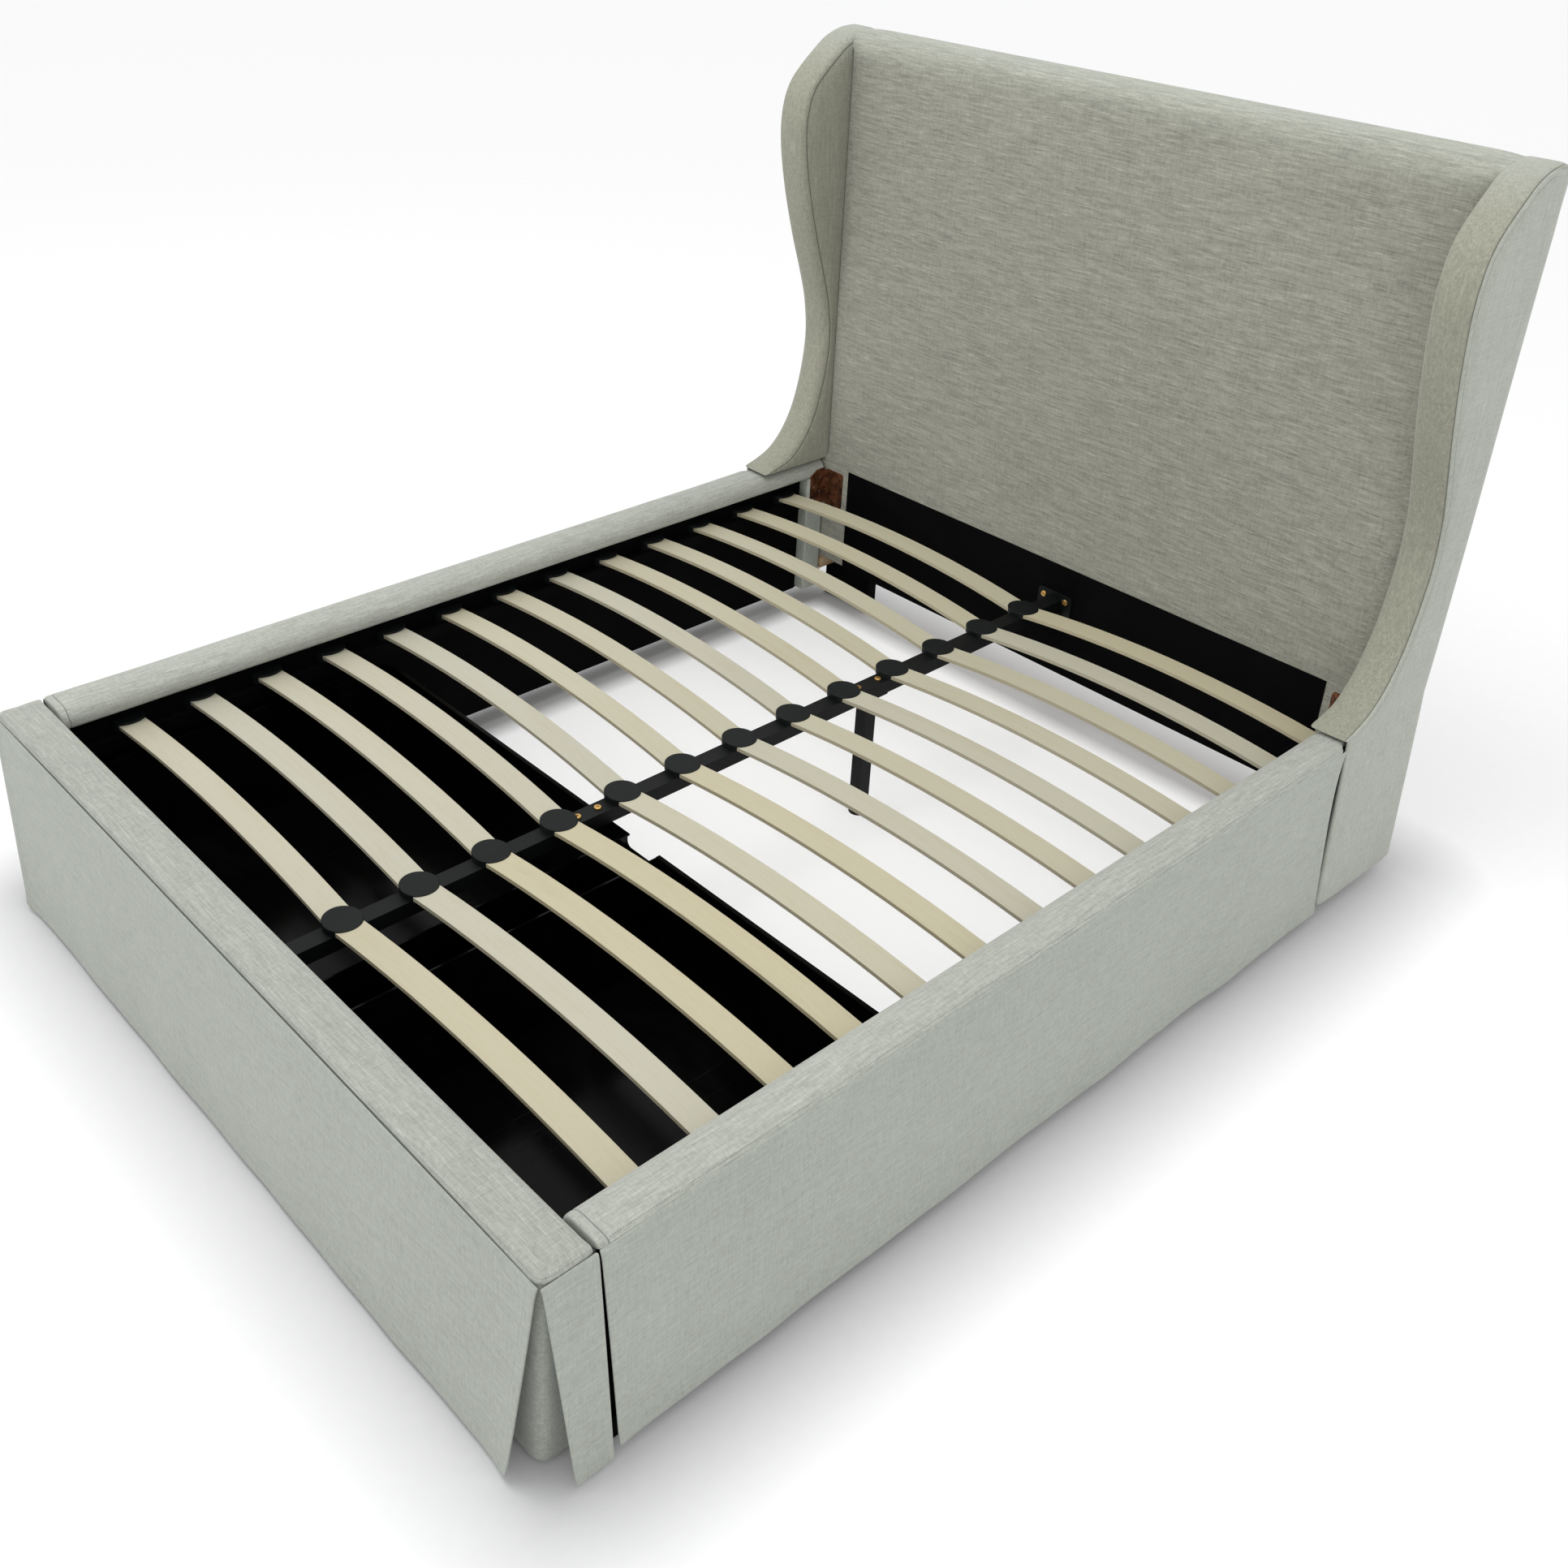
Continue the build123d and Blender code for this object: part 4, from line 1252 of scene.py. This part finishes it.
def birch():
    """Pale laminated birch, tinted slat by slat."""
    f = Finish("birch_slats")
    at = f.place()
    x, y, z = f.axes(at)
    row = f.node("ShaderNodeMath", {"operation": "ROUND"}, {0: (y + FIRST_ROW) / ROW_PITCH})
    half = x > 0.0
    seed = f.node("ShaderNodeCombineXYZ", {}, {0: row * 7.31, 1: half * 3.77, 2: 0.5})
    tint = f.noise(seed, 1.0, 0.0)
    hue = f.noise(f.node("ShaderNodeCombineXYZ", {}, {0: row * 3.13, 1: half * 9.1, 2: 4.5}), 1.0, 0.0)
    shifted = f.node("ShaderNodeVectorMath", {"operation": "ADD"}, {0: at, 1: seed})
    grain = f.noise(f.scaled(shifted, (7.0, 210.0, 210.0)), 1.0, 3.0, 0.6, 0.4)
    figure = f.noise(f.scaled(shifted, (2.2, 46.0, 46.0)), 1.0, 2.0, 0.5, 0.8)
    flecks = f.noise(f.scaled(shifted, (30.0, 900.0, 900.0)), 1.0, 1.0, 0.5)
    plies = (z * 2400.0).sine()
    colour = f.blend(tint.fit(0.35, 0.65), BIRCH_GREY, BIRCH)
    colour = f.blend(hue.fit(0.50, 0.72) * 0.8, colour, BIRCH_WARM)
    colour = f.blend(grain.fit(0.50, 0.75) * 0.30 + figure.fit(0.52, 0.70) * 0.22, colour, (0.36, 0.31, 0.20))
    colour = f.blend(flecks.fit(0.62, 0.70) * 0.25, colour, (0.32, 0.26, 0.16))
    side = f.node("ShaderNodeNewGeometry", out="Normal")
    upright = 1 - f.axes(side)[2].size().fit(0.25, 0.6)
    colour = f.blend(upright * (plies * 0.25 + 0.35), colour, (0.26, 0.21, 0.12))
    f.bump(grain * 0.7 + flecks * 0.3, 0.25, 0.0004)
    return f.give(Base_Color=colour, Roughness=0.50 + grain * 0.14, Specular_IOR_Level=0.4)


# %% [markdown]
# ## Black parts
# Four kinds of black stand next to each other, and only their surface tells them apart: the slat holders are
# moulded nylon with a fine grain, the tubes are powder coated with an orange-peel ripple, the tray is
# glossy sheet, and the lining boards are plain and dull. On the real parts dust and rubbing lighten the edges and
# corners; here they lighten the blacks in cloudy patches, and on the tubes dust lies on the upper faces.

# %% blacks


def moulded_black(name, colour, rough, grain_scale, depth):
    """Moulded plastic with a fine leather-like grain."""
    f = Finish(name)
    at = f.place()
    grain = f.noise(at, grain_scale, 3.0, 0.6)
    smear = f.noise(at, 14.0, 3.0, 0.55)
    f.bump(grain, 0.35, depth)
    tone = f.blend(smear.fit(0.35, 0.75) * 0.8, shade(colour, 0.75), shade(colour, 1.5))
    return f.give(Base_Color=tone, Roughness=rough + (smear - 0.5) * 0.16, Specular_IOR_Level=0.14)


def powder_black():
    """Powder-coated steel tube."""
    f = Finish("powder_coated_steel")
    at = f.place()
    peel = f.noise(at, 620.0, 2.0, 0.5)
    dust = f.noise(at, 9.0, 4.0, 0.6)
    lying = f.axes(f.node("ShaderNodeNewGeometry", out="Normal"))[2].fit(0.5, 1.0) * dust.fit(0.45, 0.8) * 0.5
    f.bump(peel, 0.4, 0.0003)
    tone = f.blend(lying, (0.003, 0.0036, 0.0036), (0.010, 0.0115, 0.011))
    return f.give(Base_Color=tone, Roughness=0.42 + dust * 0.2, Specular_IOR_Level=0.14)


def glossy_black():
    """Glossy moulded sheet of the tray, with faint smears and scuffs."""
    f = Finish("glossy_tray")
    at = f.place()
    smears = f.noise(f.scaled(at, (3.0, 8.0, 8.0)), 1.0, 4.0, 0.6, 0.6)
    scuffs = f.noise(f.scaled(at, (180.0, 6.0, 60.0)), 1.0, 2.0, 0.5, 1.0)
    ripple = f.noise(at, 5.0, 1.0, 0.5)
    f.bump(ripple, 0.15, 0.002)
    tone = f.blend(smears.fit(0.5, 0.8) * 0.7, (0.0012, 0.0012, 0.0012), (0.0042, 0.0042, 0.0040))
    rough = 0.16 + smears.fit(0.45, 0.8) * 0.16 + scuffs.fit(0.66, 0.74) * 0.2
    return f.give(Base_Color=tone, Roughness=rough, Specular_IOR_Level=0.10)


def dull_black():
    """Lining board, stained black, with a trace of fibre."""
    f = Finish("lining_board")
    at = f.place()
    fibre = f.noise(f.scaled(at, (20.0, 20.0, 260.0)), 1.0, 3.0, 0.6, 0.5)
    dust = f.noise(at, 6.0, 3.0, 0.6)
    f.bump(fibre, 0.3, 0.0003)
    pale = dust.fit(0.5, 0.8) * 0.5 + fibre.fit(0.6, 0.8) * 0.3
    tone = f.blend(pale, (0.0008, 0.0008, 0.0009), (0.0035, 0.0035, 0.0035))
    return f.give(Base_Color=tone, Roughness=0.70 + fibre * 0.2, Specular_IOR_Level=0.05)


# %% [markdown]
# ## Metal fittings and raw wood
# The joint screws are plated brass colour. The hooks at the head corners are steel in a rubbed bronze that wears
# to copper on its edges; here the copper shows in fine flecks. Zinc-plated castor forks, black wheels and raw pine
# boards are seen only from below and behind, but get the same care.

# %% metals and wood


def brass():
    """Yellow plated screws with fine turning marks."""
    f = Finish("brass_screws")
    at = f.place()
    marks = f.noise(at, 900.0, 2.0, 0.5)
    tarnish = f.noise(at, 260.0, 3.0, 0.6)
    tone = f.blend(tarnish.fit(0.45, 0.7), (0.62, 0.40, 0.14), (0.30, 0.17, 0.05))
    f.bump(marks, 0.2, 0.0002)
    return f.give(Base_Color=tone, Metallic=1.0, Roughness=0.30 + marks * 0.2)


def bronze():
    """Rubbed bronze on pressed steel."""
    f = Finish("rubbed_bronze")
    at = f.place()
    blotch = f.noise(at, 42.0, 4.0, 0.65, 0.5)
    fine = f.noise(at, 420.0, 2.0, 0.6)
    tone = f.blend(blotch.fit(0.40, 0.62), (0.060, 0.020, 0.010), (0.21, 0.085, 0.040))
    tone = f.blend(fine.fit(0.60, 0.75) * 0.5, tone, (0.38, 0.19, 0.10))
    f.bump(fine + blotch, 0.3, 0.0004)
    return f.give(Base_Color=tone, Metallic=0.75, Roughness=0.36 + blotch * 0.25)


def zinc():
    """Zinc-plated pressed steel."""
    f = Finish("zinc_plate")
    at = f.place()
    spangle = f.noise(at, 160.0, 3.0, 0.6, 0.8)
    tone = f.blend(spangle.fit(0.35, 0.7), (0.38, 0.38, 0.39), (0.58, 0.58, 0.58))
    f.bump(spangle, 0.15, 0.0002)
    return f.give(Base_Color=tone, Metallic=1.0, Roughness=0.32 + spangle * 0.22)


def pine():
    """Raw sawn board with long grain and a few darker streaks."""
    f = Finish("sawn_pine")
    at = f.place()
    grain = f.noise(f.scaled(at, (3.0, 3.0, 90.0)), 1.0, 4.0, 0.6, 1.5)
    saw = f.noise(f.scaled(at, (300.0, 300.0, 20.0)), 1.0, 2.0, 0.5)
    tone = f.blend(grain.fit(0.35, 0.7), (0.56, 0.42, 0.25), (0.36, 0.23, 0.11))
    f.bump(grain + saw * 0.5, 0.3, 0.0005)
    return f.give(Base_Color=tone, Roughness=0.7 + saw * 0.15)


HOLDER_BLACK = (0.0048, 0.0062, 0.0062)
finishes = {
    "birch": birch(),
    "black_plastic": moulded_black("holder_nylon", HOLDER_BLACK, 0.55, 1100.0, 0.0003),
    "castor_tread": moulded_black("castor_nylon", (0.008, 0.008, 0.009), 0.45, 700.0, 0.0002),
    "black_steel": powder_black(),
    "tray_plastic": glossy_black(),
    "black_board": dull_black(),
    "brass_screws": brass(),
    "bronze_steel": bronze(),
    "castor_steel": zinc(),
    "frame_wood": pine(),
}


def dress_nodes():
    """Give each CAD node that still shows the finish of its slot."""
    slots = {part["node"]: part["material_slot"] for part in frame["record"]["subparts"]}
    dressed = 0
    for name, node in nodes.items():
        finish = finishes.get(slots[name])
        if finish is None or node.hide_render:
            continue
        node.data.materials.clear()
        node.data.materials.append(finish)
        dressed += 1
    return dressed


print("CAD nodes dressed:", dress_nodes())

# %% [markdown]
# ## Studio floor
# The floor is plain white. Under the open part of the base, and from some 20 cm off the sides of the bed
# outwards, it also glows, which is painted light, since the floor is no lamp. The glow washes out the shade on
# the ground seen between the slats and all round, and where it comes up off the bed's outline it paints the
# edge of the soft shadow close round the skirts.

# %% floor finish
BED_HALF_X, BED_HALF_Y = 0.88, 1.12     # the rectangle that the bed stands on
SHADOW_BAND = (0.01, 0.21)              # over which the glow comes up, in metres off that rectangle
GLOW_UNDER = (0.47, 0.47, 0.47)
GLOW_ROUND = (0.31, 0.31, 0.31)


def light_floor(piece):
    """White floor with painted light: it glows under the open part of the base and round the bed."""
    f = Finish("studio_white")
    x, y = f.axes(f.place())[:2]
    under = (0.80 - x.size()).fit(0.0, 0.06) * (y + 0.34).fit(0.0, 0.06) * (1.04 - y).fit(0.0, 0.06)
    beside, beyond = x.size().fit(BED_HALF_X, BED_HALF_X + 1), y.size().fit(BED_HALF_Y, BED_HALF_Y + 1)
    away = (beside * beside + beyond * beyond).power(0.5).fit(*SHADOW_BAND)
    # painted light: the glow lightens the shaded ground under the base and all round, keeping only a narrow shadow
    # by the skirts
    glow = f.blend(away, f.blend(under, (0.0, 0.0, 0.0), GLOW_UNDER), GLOW_ROUND)
    white = f.blend(f.noise(f.place(), 40.0, 3.0, 0.6), (0.555, 0.555, 0.56), (0.585, 0.585, 0.59))
    f.give(Base_Color=white, Roughness=0.9, Emission_Color=glow, Emission_Strength=1.0, Specular_IOR_Level=0.1)
    piece.data.materials.append(f.material)


light_floor(floor)
